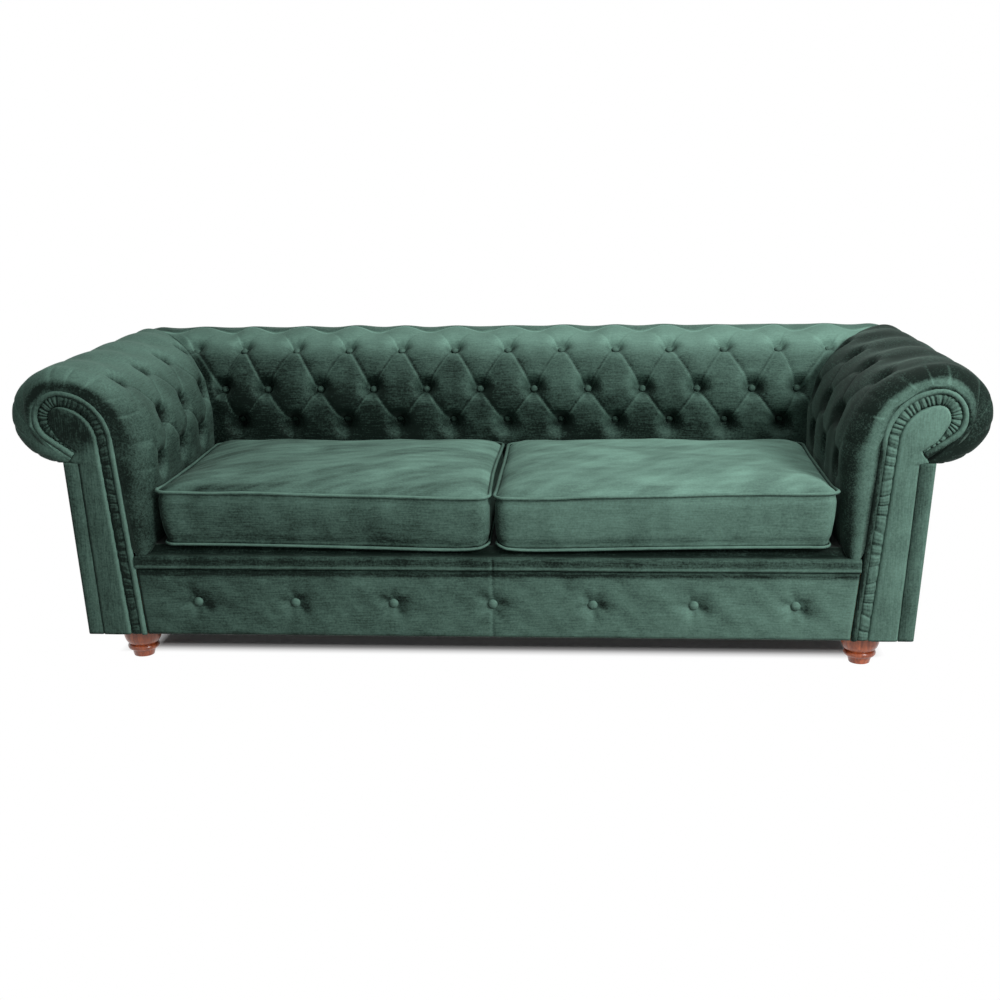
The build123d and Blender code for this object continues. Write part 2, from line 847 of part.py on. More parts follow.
dust_half = seat_half + outside(foot_height) - cover_thick - dust_cover_margin
dust_back = seat_back + outside(foot_height) - cover_thick - dust_cover_margin
with BuildPart() as dust_cover:
    with Locations((0, frame_front, foot_height)):
        Box(2 * dust_half, dust_back - frame_front, dust_cover_thick, align=base_align)
    for x, y in foot_places:
        with Locations((x, y, foot_height)):
            Cylinder(bolt_radius + fit_gap, dust_cover_thick, align=centre_low, mode=Mode.SUBTRACT)
save(dust_cover, "dust_cover")

# Seat platform: clips, springs, felt, foam and cloth
spring_front = frame_inner + spring_rail_width / 2
spring_rear = spring_rear_y + spring_rail_width / 2
spring_z = base_top + clip_base + spring_wire + fit_gap
spring_places = [(index - (spring_count - 1) / 2) * spring_pitch for index in range(spring_count)]


def spring_bend_points(x):
    """Corners of one zigzag spring, from the front clip to the rear clip."""
    step = (spring_rear - spring_front) / (spring_bends - 1)
    points = [(x - spring_half_width, spring_front, spring_z)]
    for bend in range(spring_bends):
        side = 1 if bend % 2 == 0 else -1
        y = spring_front + bend * step
        points.append((x + side * spring_half_width, y, spring_z))
        if bend < spring_bends - 1:
            points.append((x + side * spring_half_width, y + step, spring_z))
    return points


with BuildPart() as zigzag_springs:
    for x in spring_places:
        with BuildLine() as spring_path:
            FilletPolyline(*spring_bend_points(x), radius=spring_bend_radius)
        with BuildSketch(Plane(origin=spring_path.line @ 0, z_dir=spring_path.line % 0)):
            Circle(spring_wire)
        sweep(path=spring_path.line)
save(zigzag_springs, "zigzag_springs")

with BuildPart() as spring_clips:
    clip_places = [(x, y, base_top) for x in spring_places for y in (spring_front, spring_rear)]
    with Locations(*clip_places):
        Box(clip_width, clip_depth, clip_height, align=centre_low)
    bore_places = [(x, y, spring_z) for x in spring_places for y in (spring_front, spring_rear)]
    with Locations(*bore_places):
        Cylinder(spring_wire + fit_gap, 2 * clip_width, rotation=(0, 90, 0), mode=Mode.SUBTRACT)
save(spring_clips, "spring_clips")

deck_half = seat_half + inner_line(front_rail_top, 0)[0] - deck_margin
deck_front = frame_inner + fit_gap
deck_back = seat_back + inner_line(front_rail_top, 0)[0] - deck_margin

with BuildPart() as spring_felt:
    with Locations((0, deck_front, felt_bottom)):
        Box(2 * deck_half, deck_back - deck_front, felt_thick, align=base_align)
save(spring_felt, "spring_felt")

with BuildPart() as deck_foam:
    with Locations((0, deck_front, deck_foam_bottom)):
        Box(2 * deck_half, deck_back - deck_front, deck_foam_thick, align=base_align)
save(deck_foam, "deck_foam")

with BuildPart() as deck_cover:
    with Locations((0, deck_front, deck_cloth_bottom)):
        Box(2 * deck_half, deck_back - deck_front, deck_cloth_thick, align=base_align)
save(deck_cover, "deck_cover")

# Front of the seat: lip and buttoned rail panel
lip_half = seat_half + inner_line(front_rail_top, 0)[0] - fit_gap
lip_bottom = front_rail_top + fit_gap
with BuildPart() as seat_lip:
    with Locations((0, front, lip_bottom)):
        Box(2 * lip_half, frame_inner - front, deck_top - lip_bottom, align=base_align)
    front_edges = seat_lip.edges().filter_by(Axis.X).group_by(Axis.Y)[0]
    fillet(front_edges.sort_by(Axis.Z)[-1], radius=lip_radius)
    under_edges = seat_lip.edges().filter_by(Axis.X).group_by(Axis.Z)[0]
    fillet(under_edges.sort_by(Axis.Y)[0], radius=lip_under_radius)
save(seat_lip, "seat_lip")

panel_front = front + panel_set_back
panel_rear = frame_front - fit_gap
panel_low_half = seat_half + inner_line(foot_height, -fit_gap)[0] - 2 * fit_gap
panel_high_half = seat_half + inner_line(front_rail_top, -fit_gap)[0] - 2 * fit_gap
panel_middle = (foot_height + front_rail_top) / 2
front_first = -(front_button_count - 1) / 2 * front_button_pitch
front_places = [front_first + index * front_button_pitch for index in range(front_button_count)]
pocket_floor = panel_front + dimple_depth + dimple_pocket
front_button_seats = [
    Plane(origin=(x, pocket_floor, panel_middle), x_dir=(1, 0, 0), z_dir=(0, -1, 0)) for x in front_places
]

with BuildPart() as front_panel:
    with BuildSketch(Plane(origin=(0, panel_rear, 0), x_dir=(1, 0, 0), z_dir=(0, -1, 0))):
        with BuildLine():
            Polyline(
                (-panel_low_half, foot_height),
                (panel_low_half, foot_height),
                (panel_high_half, front_rail_top),
                (-panel_high_half, front_rail_top),
                close=True,
            )
        make_face()
    extrude(amount=panel_rear - panel_front)
    fillet(front_panel.faces().sort_by(Axis.Y)[0].edges(), radius=panel_edge)
    dimple_places = [(x, panel_front + dimple_depth - dimple_radius, panel_middle) for x in front_places]
    with Locations(*dimple_places):
        Sphere(dimple_radius, mode=Mode.SUBTRACT)
    with Locations(*front_button_seats):
        Cylinder(front_button_radius + fit_gap, facing_depth, align=centre_low, mode=Mode.SUBTRACT)
save(front_panel, "front_panel")

with BuildPart() as front_buttons:
    with Locations(*front_button_seats):
        add(scale(button.part, by=front_button_radius / button_radius, mode=Mode.PRIVATE))
save(front_buttons, "front_buttons")

# Facings with their ruched band and piping
panel_inset = 2 * piping_radius + ruche_width + 2 * fit_gap
facing_rear = frame_front - fit_gap
facing_thick = facing_depth - facing_proud - fit_gap
facing_shoulder = outside_top + neck_step / 2
with BuildPart() as facing_panel:
    with BuildSketch(arm_plane(facing_rear)):
        with BuildLine():
            draw_scroll_edge(panel_inset, foot_height)
            Polyline(
                neck_point(panel_inset),
                (facing_outer(facing_shoulder), facing_shoulder),
                (facing_outer(foot_height), foot_height),
                inner_line(foot_height, panel_inset),
            )
        make_face()
    extrude(amount=facing_thick)
    fillet(facing_panel.faces().sort_by(Axis.Y)[0].edges(), radius=facing_edge)
save_pair(facing_panel, "facing_panel")

ruche_outer = 2 * piping_radius + fit_gap
ruche_inner = ruche_outer + ruche_width
with BuildPart() as facing_ruche:
    with BuildSketch(arm_plane(facing_rear)):
        with BuildLine():
            draw_scroll_edge(ruche_outer, foot_height)
            draw_scroll_edge(ruche_inner, foot_height)
            Line(inner_line(foot_height, ruche_outer), inner_line(foot_height, ruche_inner))
            Line(neck_point(ruche_outer), neck_point(ruche_inner))
        make_face()
    extrude(amount=facing_depth - ruche_set_back - fit_gap)
save_pair(facing_ruche, "facing_ruche")

piping_y = front + facing_proud + piping_radius
with BuildPart() as facing_piping:
    with BuildLine(arm_plane(piping_y)) as piping_path:
        draw_scroll_edge(piping_radius, foot_height)
    with BuildSketch(Plane(origin=piping_path.line @ 0, z_dir=piping_path.line % 0)):
        Circle(piping_radius)
    sweep(path=piping_path.line)
    with BuildSketch(Plane.XY.offset(foot_height)):
        with Locations((seat_half + facing_foot_inner, piping_y)):
            Rectangle(facing_foot_outer, facing_foot_outer)
    extrude(amount=-2 * piping_radius, mode=Mode.SUBTRACT)
save_pair(facing_piping, "facing_piping")

# Outside covers
with BuildPart() as outside_arm_cover:
    for z in (foot_height, outside_top):
        outer = seat_half + outside(z)
        edge = seat_half + facing_outer(z) + fit_gap
        corner = seat_back + outside(z)
        with BuildSketch(Plane.XY.offset(z)):
            with BuildLine():
                Polyline(
                    (outer, front + ruche_set_back),
                    (outer, corner),
                    (outer - cover_thick, corner - cover_thick),
                    (outer - cover_thick, facing_rear),
                    (edge, facing_rear),
                    (edge, front + ruche_set_back),
                    close=True,
                )
            make_face()
    loft(ruled=True)
save_pair(outside_arm_cover, "outside_arm_cover")

with BuildPart() as outside_back_cover:
    for z in (foot_height, outside_top):
        outer = seat_half + outside(z)
        corner = seat_back + outside(z)
        with BuildSketch(Plane.XY.offset(z)):
            with BuildLine():
                Polyline(
                    (-outer, corner),
                    (outer, corner),
                    (outer - cover_thick, corner - cover_thick),
                    (cover_thick - outer, corner - cover_thick),
                    close=True,
                )
            make_face()
    loft(ruled=True)
save(outside_back_cover, "outside_back_cover")

# Loose seat cushions
cushion_right = width / 2 - roll_radius - face_radius - cushion_clear
cushion_left = cushion_apart / 2
cushion_rear = depth / 2 - roll_radius - face_radius - cushion_clear
cushion_half_x = (cushion_right - cushion_left) / 2
cushion_half_y = (cushion_rear - front - cushion_front) / 2
cushion_x = (cushion_right + cushion_left) / 2
cushion_y = cushion_rear - cushion_half_y
cushion_bottom = deck_top + fit_gap
seam_high = seam_rise + border_height
cushion_thick = seam_high + crown


def draw_cushion(half_x, half_y):
    """Draws a cushion's plan: round corners joined by sides that draw in slightly between them."""
    corner = min(cushion_corner, half_x / 2, half_y / 2)
    draw = radians(cushion_draw)
    near = corner * sin(draw)
    far = corner * cos(draw)
    corner_x = half_x - corner
    corner_y = half_y - corner
    sag_x = (corner_y - near) * tan(draw / 2)
    sag_y = (corner_x - near) * tan(draw / 2)
    round_off = corner / diagonal
    for side in (1, -1):
        ThreePointArc(
            (side * (corner_x + far), side * (near - corner_y)),
            (side * (corner_x + far - sag_x), 0),
            (side * (corner_x + far), side * (corner_y - near)),
        )
        ThreePointArc(
            (side * (corner_x + far), side * (corner_y - near)),
            (side * (corner_x + round_off), side * (corner_y + round_off)),
            (side * (corner_x - near), side * (corner_y + far)),
        )
        ThreePointArc(
            (side * (corner_x - near), side * (corner_y + far)),
            (0, side * (corner_y + far - sag_y)),
            (side * (near - corner_x), side * (corner_y + far)),
        )
        ThreePointArc(
            (side * (near - corner_x), side * (corner_y + far)),
            (side * (-corner_x - round_off), side * (corner_y + round_off)),
            (side * (-corner_x - far), side * (corner_y - near)),
        )


def crown_levels(start):
    """Rise and inset of the crowned top, from where it leaves the border."""
    return [
        start,
        (seam_high + crown * crown_share_low, crown_step),
        (seam_high + crown * crown_share_mid, 2 * crown_step),
        (cushion_thick, 3 * crown_step),
    ]


def foam_levels(skin, skin_flat):
    """Height and inset of each level of the foam inside a cushion, from its underside to its crown."""
    squeeze = (cushion_thick - 2 * skin_flat) / cushion_thick
    levels = [(0, bottom_turn), (seam_rise, cushion_piping), (seam_rise + border_height / 2, 0)]
    levels += crown_levels((seam_high, cushion_piping))
    return [(cushion_bottom + skin_flat + rise * squeeze, inset + skin) for rise, inset in levels]


def cover_levels():
    """Height and inset of each level of a cushion's cover, with a channel for the piping at both seams."""
    half_channel = cushion_piping + fit_gap
    channel = 2 * cushion_piping + fit_gap
    levels = [
        (0, bottom_turn),
        (seam_rise - half_channel, channel),
        (seam_rise + half_channel, channel),
        (seam_rise + half_channel + seam_lap, seam_draw),
        (seam_rise + border_height / 2, 0),
        (seam_high - half_channel - seam_lap, seam_draw),
        (seam_high - half_channel, channel),
    ]
    levels += crown_levels((seam_high + half_channel, channel))
    return [(cushion_bottom + rise, inset) for rise, inset in levels]


with BuildPart() as cushion_foam:
    for level, inset in foam_levels(cushion_skin, cushion_skin_flat):
        with BuildSketch(Plane(origin=(cushion_x, cushion_y, level))):
            with BuildLine():
                draw_cushion(cushion_half_x - inset, cushion_half_y - inset)
            make_face()
    loft(ruled=True)
save_pair(cushion_foam, "cushion_foam")

zip_floor = cushion_rear - zip_recess
zip_z = cushion_bottom + seam_rise + border_height / 2
zip_align = (Align.CENTER, Align.MIN, Align.CENTER)
with BuildPart() as cushion_cover:
    for level, inset in cover_levels():
        with BuildSketch(Plane(origin=(cushion_x, cushion_y, level))):
            with BuildLine():
                draw_cushion(cushion_half_x - inset, cushion_half_y - inset)
            make_face()
    loft(ruled=True)
    for level, inset in foam_levels(cushion_skin - fit_gap, cushion_skin_flat - fit_gap):
        with BuildSketch(Plane(origin=(cushion_x, cushion_y, level))):
            with BuildLine():
                draw_cushion(cushion_half_x - inset, cushion_half_y - inset)
            make_face()
    loft(ruled=True, mode=Mode.SUBTRACT)
    with Locations((cushion_x, zip_floor, zip_z)):
        Box(
            zip_length + 2 * fit_gap,
            2 * zip_recess,
            zip_recess_height + 2 * fit_gap,
            align=zip_align,
            mode=Mode.SUBTRACT,
        )
        Box(
            zip_length - 2 * slider_start,
            2 * cushion_skin,
            zip_slot,
            mode=Mode.SUBTRACT,
        )
save_pair(cushion_cover, "cushion_cover")

with BuildPart() as cushion_piping_cord:
    for rise in (seam_rise, seam_high):
        with BuildLine(Plane(origin=(cushion_x, cushion_y, cushion_bottom + rise))) as seam:
            draw_cushion(cushion_half_x - cushion_piping, cushion_half_y - cushion_piping)
        with BuildSketch(Plane(origin=seam.wire() @ 0, z_dir=seam.wire() % 0)):
            Circle(cushion_piping)
        sweep(path=seam.wire())
save_pair(cushion_piping_cord, "cushion_piping")

tape_front = zip_floor + fit_gap
teeth_front = tape_front + zip_tape
with BuildPart() as cushion_zip:
    with Locations((cushion_x, tape_front, zip_z)):
        Box(zip_length, zip_tape, zip_recess_height, align=zip_align)
    with Locations((cushion_x, teeth_front, zip_z)):
        Box(zip_length, zip_teeth, zip_teeth_height, align=zip_align)
save_pair(cushion_zip, "cushion_zip")

slider_x = cushion_x + zip_length / 2 - slider_start - slider_length / 2
with BuildPart() as zip_slider:
    with Locations((slider_x, teeth_front + slide_gap, zip_z)):
        Box(slider_length, slider_thick, slider_height, align=zip_align)
    fillet(zip_slider.edges().filter_by(Axis.Y), radius=slider_height / 5)
    with Locations((slider_x, teeth_front, zip_z)):
        Box(
            2 * slider_length,
            zip_teeth + slide_gap,
            zip_teeth_height + 2 * slide_gap,
            align=zip_align,
            mode=Mode.SUBTRACT,
        )
save_pair(zip_slider, "zip_slider")
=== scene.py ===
"""Looks of a three-seater scroll-arm sofa in buttoned velvet: an add-on that is run as a script."""

import math

import bmesh
import bpy
import numpy as np
from mathutils import Matrix, Vector


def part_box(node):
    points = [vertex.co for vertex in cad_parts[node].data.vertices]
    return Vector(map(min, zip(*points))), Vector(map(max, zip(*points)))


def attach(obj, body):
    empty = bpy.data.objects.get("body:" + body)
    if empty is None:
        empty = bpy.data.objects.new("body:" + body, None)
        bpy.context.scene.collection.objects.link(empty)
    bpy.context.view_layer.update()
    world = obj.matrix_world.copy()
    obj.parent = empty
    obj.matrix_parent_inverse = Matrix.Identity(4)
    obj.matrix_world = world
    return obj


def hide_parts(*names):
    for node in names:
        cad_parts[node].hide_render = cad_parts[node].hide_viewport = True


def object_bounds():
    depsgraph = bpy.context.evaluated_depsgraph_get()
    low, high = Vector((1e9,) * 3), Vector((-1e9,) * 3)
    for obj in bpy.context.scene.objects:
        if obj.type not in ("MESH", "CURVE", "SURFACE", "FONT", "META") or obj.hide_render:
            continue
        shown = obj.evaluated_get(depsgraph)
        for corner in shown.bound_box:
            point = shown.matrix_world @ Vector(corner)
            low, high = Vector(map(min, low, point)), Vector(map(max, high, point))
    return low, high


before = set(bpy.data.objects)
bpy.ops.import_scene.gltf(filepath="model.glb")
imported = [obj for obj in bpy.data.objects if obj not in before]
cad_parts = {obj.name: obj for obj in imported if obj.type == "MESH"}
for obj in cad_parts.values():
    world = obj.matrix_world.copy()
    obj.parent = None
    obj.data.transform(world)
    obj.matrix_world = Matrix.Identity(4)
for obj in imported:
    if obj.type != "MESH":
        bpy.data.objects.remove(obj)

bl_info = {
    "name": "Buttoned velvet sofa",
    "version": (1, 0, 0),
    "blender": (4, 5, 0),
    "location": "View3D > Sidebar > Sofa",
    "description": "Builds the upholstery, finishes and stage of a scroll-arm sofa around its frame",
    "category": "Object",
}

CAD_LOW, CAD_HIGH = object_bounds()
MM = 0.001
SIDES = (("right", 1), ("left", -1))


def linear(code):
    """Linear colour of an sRGB hex value."""
    parts = np.array([int(code[i : i + 2], 16) / 255 for i in (1, 3, 5)])
    parts = np.where(parts <= 0.04045, parts / 12.92, ((parts + 0.055) / 1.055) ** 2.4)
    return tuple(float(p) for p in parts)


def length(name, description, value):
    """Property of a length in metres."""
    return bpy.props.FloatProperty(
        name=name, description=description, default=value, unit="LENGTH", precision=4
    )


def degrees(name, description, value):
    """Property of an angle, given in degrees."""
    return bpy.props.FloatProperty(
        name=name, description=description, default=math.radians(value), subtype="ANGLE"
    )


def colour(name, description, code):
    """Property of a colour, given as an sRGB hex value."""
    return bpy.props.FloatVectorProperty(
        name=name, description=description, default=linear(code), subtype="COLOR", min=0.0, max=1.0
    )


class SofaSizes(bpy.types.PropertyGroup):
    """Sizes of the upholstery, in the frame of the CAD part."""

    seat_half: length("Seat half width", "Middle of the sofa to the plane of an inside arm", 0.783)
    seat_back: length("Seat back", "Place of the inside back's plane, front to back", 0.133)
    front: length("Front", "Place of the front of the arms", CAD_LOW.y)
    top: length("Height", "Floor to the top of the rolls", CAD_HIGH.z)
    base: length("Base", "Floor to the underside of the base", 0.072)
    deck: length("Deck", "Floor to the foot of the inside covers", 0.2826)
    face_radius: length("Inside curve", "Radius of the inside face of the padding", 0.210)
    overhang: length("Overhang", "How far the inside face leans over the seat", 0.005)
    tuck: length("Tuck", "How far the padding draws back at the deck", 0.006)
    roll_radius: length("Roll", "Radius of the rolled top", 0.112)
    roll_end: degrees("Roll end", "Angle at which the roll meets the outside cover", -80)
    back_pitch: length("Back pitch", "Spacing of the buttons along the back", 0.143)
    arm_pitch: length("Arm pitch", "Spacing of the buttons along an arm", 0.173)
    arm_first: length("First arm button", "Front of the arm to its first buttons", 0.115)
    corner_mid: length("Corner, middle row", "Seat's end to the back's last button of that row", 0.023)
    corner_high: length("Corner, high row", "Seat's end out to the back's corner button", 0.064)
    low_row: length("Low row", "Height of the low row of buttons", 0.464)
    mid_row: degrees("Middle row", "Angle of the middle row on the inside curve", 160)
    high_row: degrees("High row", "Angle of the high row on the inside curve", 124.5)
    crest_row: degrees("Crest pleats", "Angle at which the crest pleats meet on the inside curve", 97)
    button_radius: length("Button radius", "Radius of a covered button", 0.010)
    button_rise: length("Button height", "Height of a covered button", 0.008)
    head_in: length("Scroll centre out", "Seat plane to the centre of the scroll's head", 0.196)
    head_z: length("Scroll centre height", "Floor to the centre of the scroll's head", 0.587)
    head_radius: length("Scroll radius", "Radius of the scroll's head", 0.064)
    shoulder_radius: length("Shoulder radius", "Radius of the scroll's shoulder on the seat side", 0.126)
    crown: degrees("Crown", "Angle at which the shoulder's arc runs into the head's", 94.5)
    foot_inner: length("Facing foot, seat side", "Seat plane to the facing's seat-side foot", 0.030)
    foot_outer: length("Facing foot, outside", "Seat plane to the facing's outer foot", 0.135)
    neck_outer: length("Facing neck, outside", "Seat plane to the facing's outer neck", 0.162)
    neck_in: length("Neck out", "Seat plane to the end of the scroll's edge", 0.175)
    neck_z: length("Neck height", "Floor to the end of the scroll's edge", 0.495)
    piping: length("Facing piping", "Radius of the piping round a facing", 0.007)
    ruche: length("Ruched band", "Width of the gathered band inside the piping", 0.024)
    outside_foot: length("Outside foot", "Seat plane to the foot of the outside cover", 0.174)
    outside_neck: length("Outside top", "Seat plane to the top of the outside cover", 0.200)
    outside_z: length("Outside height", "Floor to the top of the outside cover", 0.484)
    front_pitch: length("Rail button pitch", "Spacing of the front rail's buttons", 0.229)
    cushion_piping: length("Cushion piping", "Radius of the cushions' piping", 0.005)
    cushion_corner: length("Cushion corner", "Corner radius of the cushions", 0.030)
    ears: length("Ears", "How far a cushion's front corners stand out past its sides", 0.010)
    draw_in: length("Draw-in", "How far a cushion's low corners draw in below its high ones", 0.009)
    seam_low: length("Low seam", "Underside of a cushion to its low seam", 0.006)
    seam_high: length("High seam", "Underside of a cushion to its high seam", 0.130)
    cushion_thick: length("Cushion height", "Underside of a cushion to its crown", 0.164)
    middle_sag: length("Middle sag", "How far the cushions' front corners sink where the two meet", 0.013)
    pressure: bpy.props.FloatProperty(
        name="Filling pressure", description="Pressure that swells the cushions", default=4.0, min=0.0
    )


class SofaColours(bpy.types.PropertyGroup):
    """Colours of the finishes."""

    # The deep and light pile colours are the ends of the velvet's mix, which also carries painted light and
    # shade: the deep end stands in for painted shade and the light end for painted highlights as well as for
    # how the pile is brushed
    pile_deep: colour("Pile, deep", "Velvet where the pile is brushed towards the eye", "#0a1712")
    pile_light: colour("Pile, light", "Velvet where the pile is brushed away", "#7ca394")
    pile_sheen: colour("Pile sheen", "Light that the tips of the pile scatter", "#9fc4b4")
    wood_dark: colour("Stain, dark", "Late wood of the stained feet", "#7a3417")
    wood_light: colour("Stain, light", "Early wood of the stained feet", "#bd6238")
    lining: colour("Lining", "Spun lining under the base", "#17181a")
    floor: colour("Floor", "Pale studio floor", "#f4f4f3")


def size():
    """The upholstery's sizes."""
    return bpy.context.scene.sofa_sizes


def tint():
    """The finishes' colours."""
    return bpy.context.scene.sofa_colours


# Way the light comes from, up and to the right, for painted shading by slope. A table of tones says what each
# area adds
# to the tone: pile, painted highlights and painted shade; and a lean is how much the painted shading by slope
# adds to it.
PAINTED_LIGHT_WAY = np.array([0.50, -0.30, 0.81])
# Back: painted lighter towards the right, where the key lamp is, and painted light on the crest of the roll;
# a little darker at the foot, below the low row
BACK_PILE_AND_PAINTED_LIGHT = {"base": -0.05, "across": 0.12, "crest": 0.43, "foot": -0.03}
# Painted highlights on the pleats' edges, in arcs above the buttons and along the crest seam; painted shade
# in the pits round the buttons and behind the crest seam; painted light down the back of the roll
BACK_PAINTED_LIGHT = {"lips": 0.20, "rings": 0.34, "hollows": -0.16, "line": 0.60, "behind": -0.30, "rear": 0.24}
# Arms: the right copy darker overall, partly pile and partly painted shade, with a painted sheen along the
# facing's rim; the left copy with painted light on the roll's top and outer side and painted shade next to
# the cord round the head and in the pits round the buttons; on both, painted highlights on the pleats and
# front gathers and painted light on the outer flank
ARM_PILE_AND_PAINTED_LIGHT = {
    "right": {"base": -0.22, "painted_rim_sheen": 0.52, "lines": 0.13, "creases": 0.26, "flank": 0.34},
    "left": {
        "base": -0.10,
        "over": 0.24,
        "rim": -0.26,
        "outside": 0.36,
        "lines": 0.12,
        "creases": 0.15,
        "flank": 0.06,
        "hollows": -0.42,
    },
}
# Buttons: the rail's painted lighter, as a painted highlight on their caps
BUTTON_PILE_AND_PAINTED_LIGHT = {"back": 0.03, "arm": -0.02, "rail": 0.24}
# Facings: painted light and shade by copy, the right lighter and the left darker as the key lamp falls; each
# pair gives the tone at the foot of the leg and at the head
FACING_PILE_AND_PAINTED_LIGHT = {
    "right": {"facing": (0.27, 0.34), "ruched_band": (0.20, 0.14), "facing_cord": (-0.04, 0.26)},
    "left": {"facing": (0.12, -0.08), "ruched_band": (-0.05, -0.04), "facing_cord": (0.36, 0.16)},
}
# Painted highlight along the seat-side edge of each facing panel
FACING_HEM_HIGHLIGHT = 0.25
# Rail: painted lighter to the right, a painted highlight along its bottom edge, painted shadow along its top
# under the lip and painted shadow beside each button
RAIL_PILE_AND_PAINTED_LIGHT = {"base": 0.14, "across": 0.13, "hem": 0.25, "top": -0.42, "beside": -0.20}
# Lip: painted lighter to the right and darker upwards, painted shadow on its top under the cushions, and a
# painted highlight along its bottom edge
LIP_PILE_AND_PAINTED_LIGHT = {"base": 0.07, "across": 0.08, "tall": -0.12, "shaded": -0.34, "hem": 0.30}
# Outside covers: painted light and shade by copy, the right arm's lighter than the left's and the back's
# lighter still
OUTSIDE_PILE_AND_PAINTED_LIGHT = {"right": 0.22, "left": 0.12, "back": 0.30}
# Weights of the painted shading by slope: how much lighter a surface is painted the more it faces the light's
# way
ARM_SLOPE_SHADING = {"right": 0.19, "left": 0.42}
BACK_SLOPE_SHADING, BUTTON_SLOPE_SHADING, FACING_SLOPE_SHADING, RAIL_SLOPE_SHADING = 0.32, 0.4, 0.4, 0.5
LIP_SLOPE_SHADING, OUTSIDE_SLOPE_SHADING, CUSHION_SLOPE_SHADING, CORD_SLOPE_SHADING = 0.25, 0.3, 0.5, 0.45

# Camera fitted to the photograph: its place, its turn, tip and roll in degrees, and its lens in mm
VIEW_PLACE = (0.232, -3.4576, 1.1549)
VIEW_TURN, VIEW_TIP, VIEW_ROLL, VIEW_LENS = 4.011, 14.034, -0.81, 49.87

# Numbers shared by the surfaces


def ripple(points, wavelength, seed, waves=14):
    """Smooth uneven field around 0: a sum of plane sine waves of random direction, length and phase."""
    rng = np.random.default_rng(seed)
    turn = rng.normal(size=(waves, 3))
    turn /= np.linalg.norm(turn, axis=1)[:, None]
    turn *= (2 * np.pi / (wavelength * rng.uniform(0.7, 1.6, waves)))[:, None]
    phase = rng.uniform(0, 2 * np.pi, waves)
    return np.sin(points @ turn.T + phase).sum(-1) / math.sqrt(waves)


def bell(distance, width):
    """Bell curve: 1 at distance 0, falling as the exponential of minus the square of distance over width."""
    return np.exp(-((distance / width) ** 2))


def ease(value):
    """Smooth step of a value held between 0 and 1."""
    held = np.clip(value, 0, 1)
    return held * held * (3 - 2 * held)


def section_marks(s):
    """Arc lengths, from the deck up, of the inside face, the top, the end and the four rows of pleats."""
    face = s.top - s.face_radius - s.deck
    top = face + s.face_radius * math.pi / 2
    end = top + s.roll_radius * (math.pi / 2 - s.roll_end)
    rows = [s.low_row - s.deck]
    rows += [face + s.face_radius * (math.pi - angle) for angle in (s.mid_row, s.high_row, s.crest_row)]
    return face, top, end, np.array(rows)


def section_line(s, along):
    """Fullest line of the padding at arc lengths from the deck.

    A shallow parabola rises up the seat side, a quarter of the inside circle leads to the top and the roll's
    circle turns down the outside. Gives the distance out from the seat, the height and the outward normal.
    """
    face, top = section_marks(s)[:2]
    face_z = s.top - s.face_radius
    roll_in = s.face_radius - s.overhang
    fall = np.clip((face - along) / face, 0, 1)
    bow = s.tuck + s.overhang
    slope = -2 * bow * fall / face
    inside = np.pi - np.clip(along - face, 0, top - face) / s.face_radius
    rolled = np.pi / 2 - np.clip(along - top, 0, None) / s.roll_radius
    low = along < face
    high = along >= top
    out = np.where(low, bow * fall**2 - s.overhang, roll_in + s.face_radius * np.cos(inside))
    up = np.where(low, s.deck + along, face_z + s.face_radius * np.sin(inside))
    out = np.where(high, roll_in + s.roll_radius * np.cos(rolled), out)
    up = np.where(high, s.top - s.roll_radius + s.roll_radius * np.sin(rolled), up)
    size_low = np.sqrt(1 + slope**2)
    angle = np.where(high, rolled, inside)
    normal_out = np.where(low, -1 / size_low, np.cos(angle))
    normal_up = np.where(low, slope / size_low, np.sin(angle))
    return out, up, normal_out, normal_up


def pleat_depth(s, along):
    """Depth of a pleat between its buttons, read off a line of depths along the section."""
    top, end, rows = section_marks(s)[1:]
    places = [0, rows[0] * 0.6, rows[0], rows[1], rows[2], rows[3], top, (top + end) / 2, end]
    depths = np.array([5, 9, 13, 14, 13, 10, 8, 6, 3]) * MM
    return np.interp(along, places, depths)


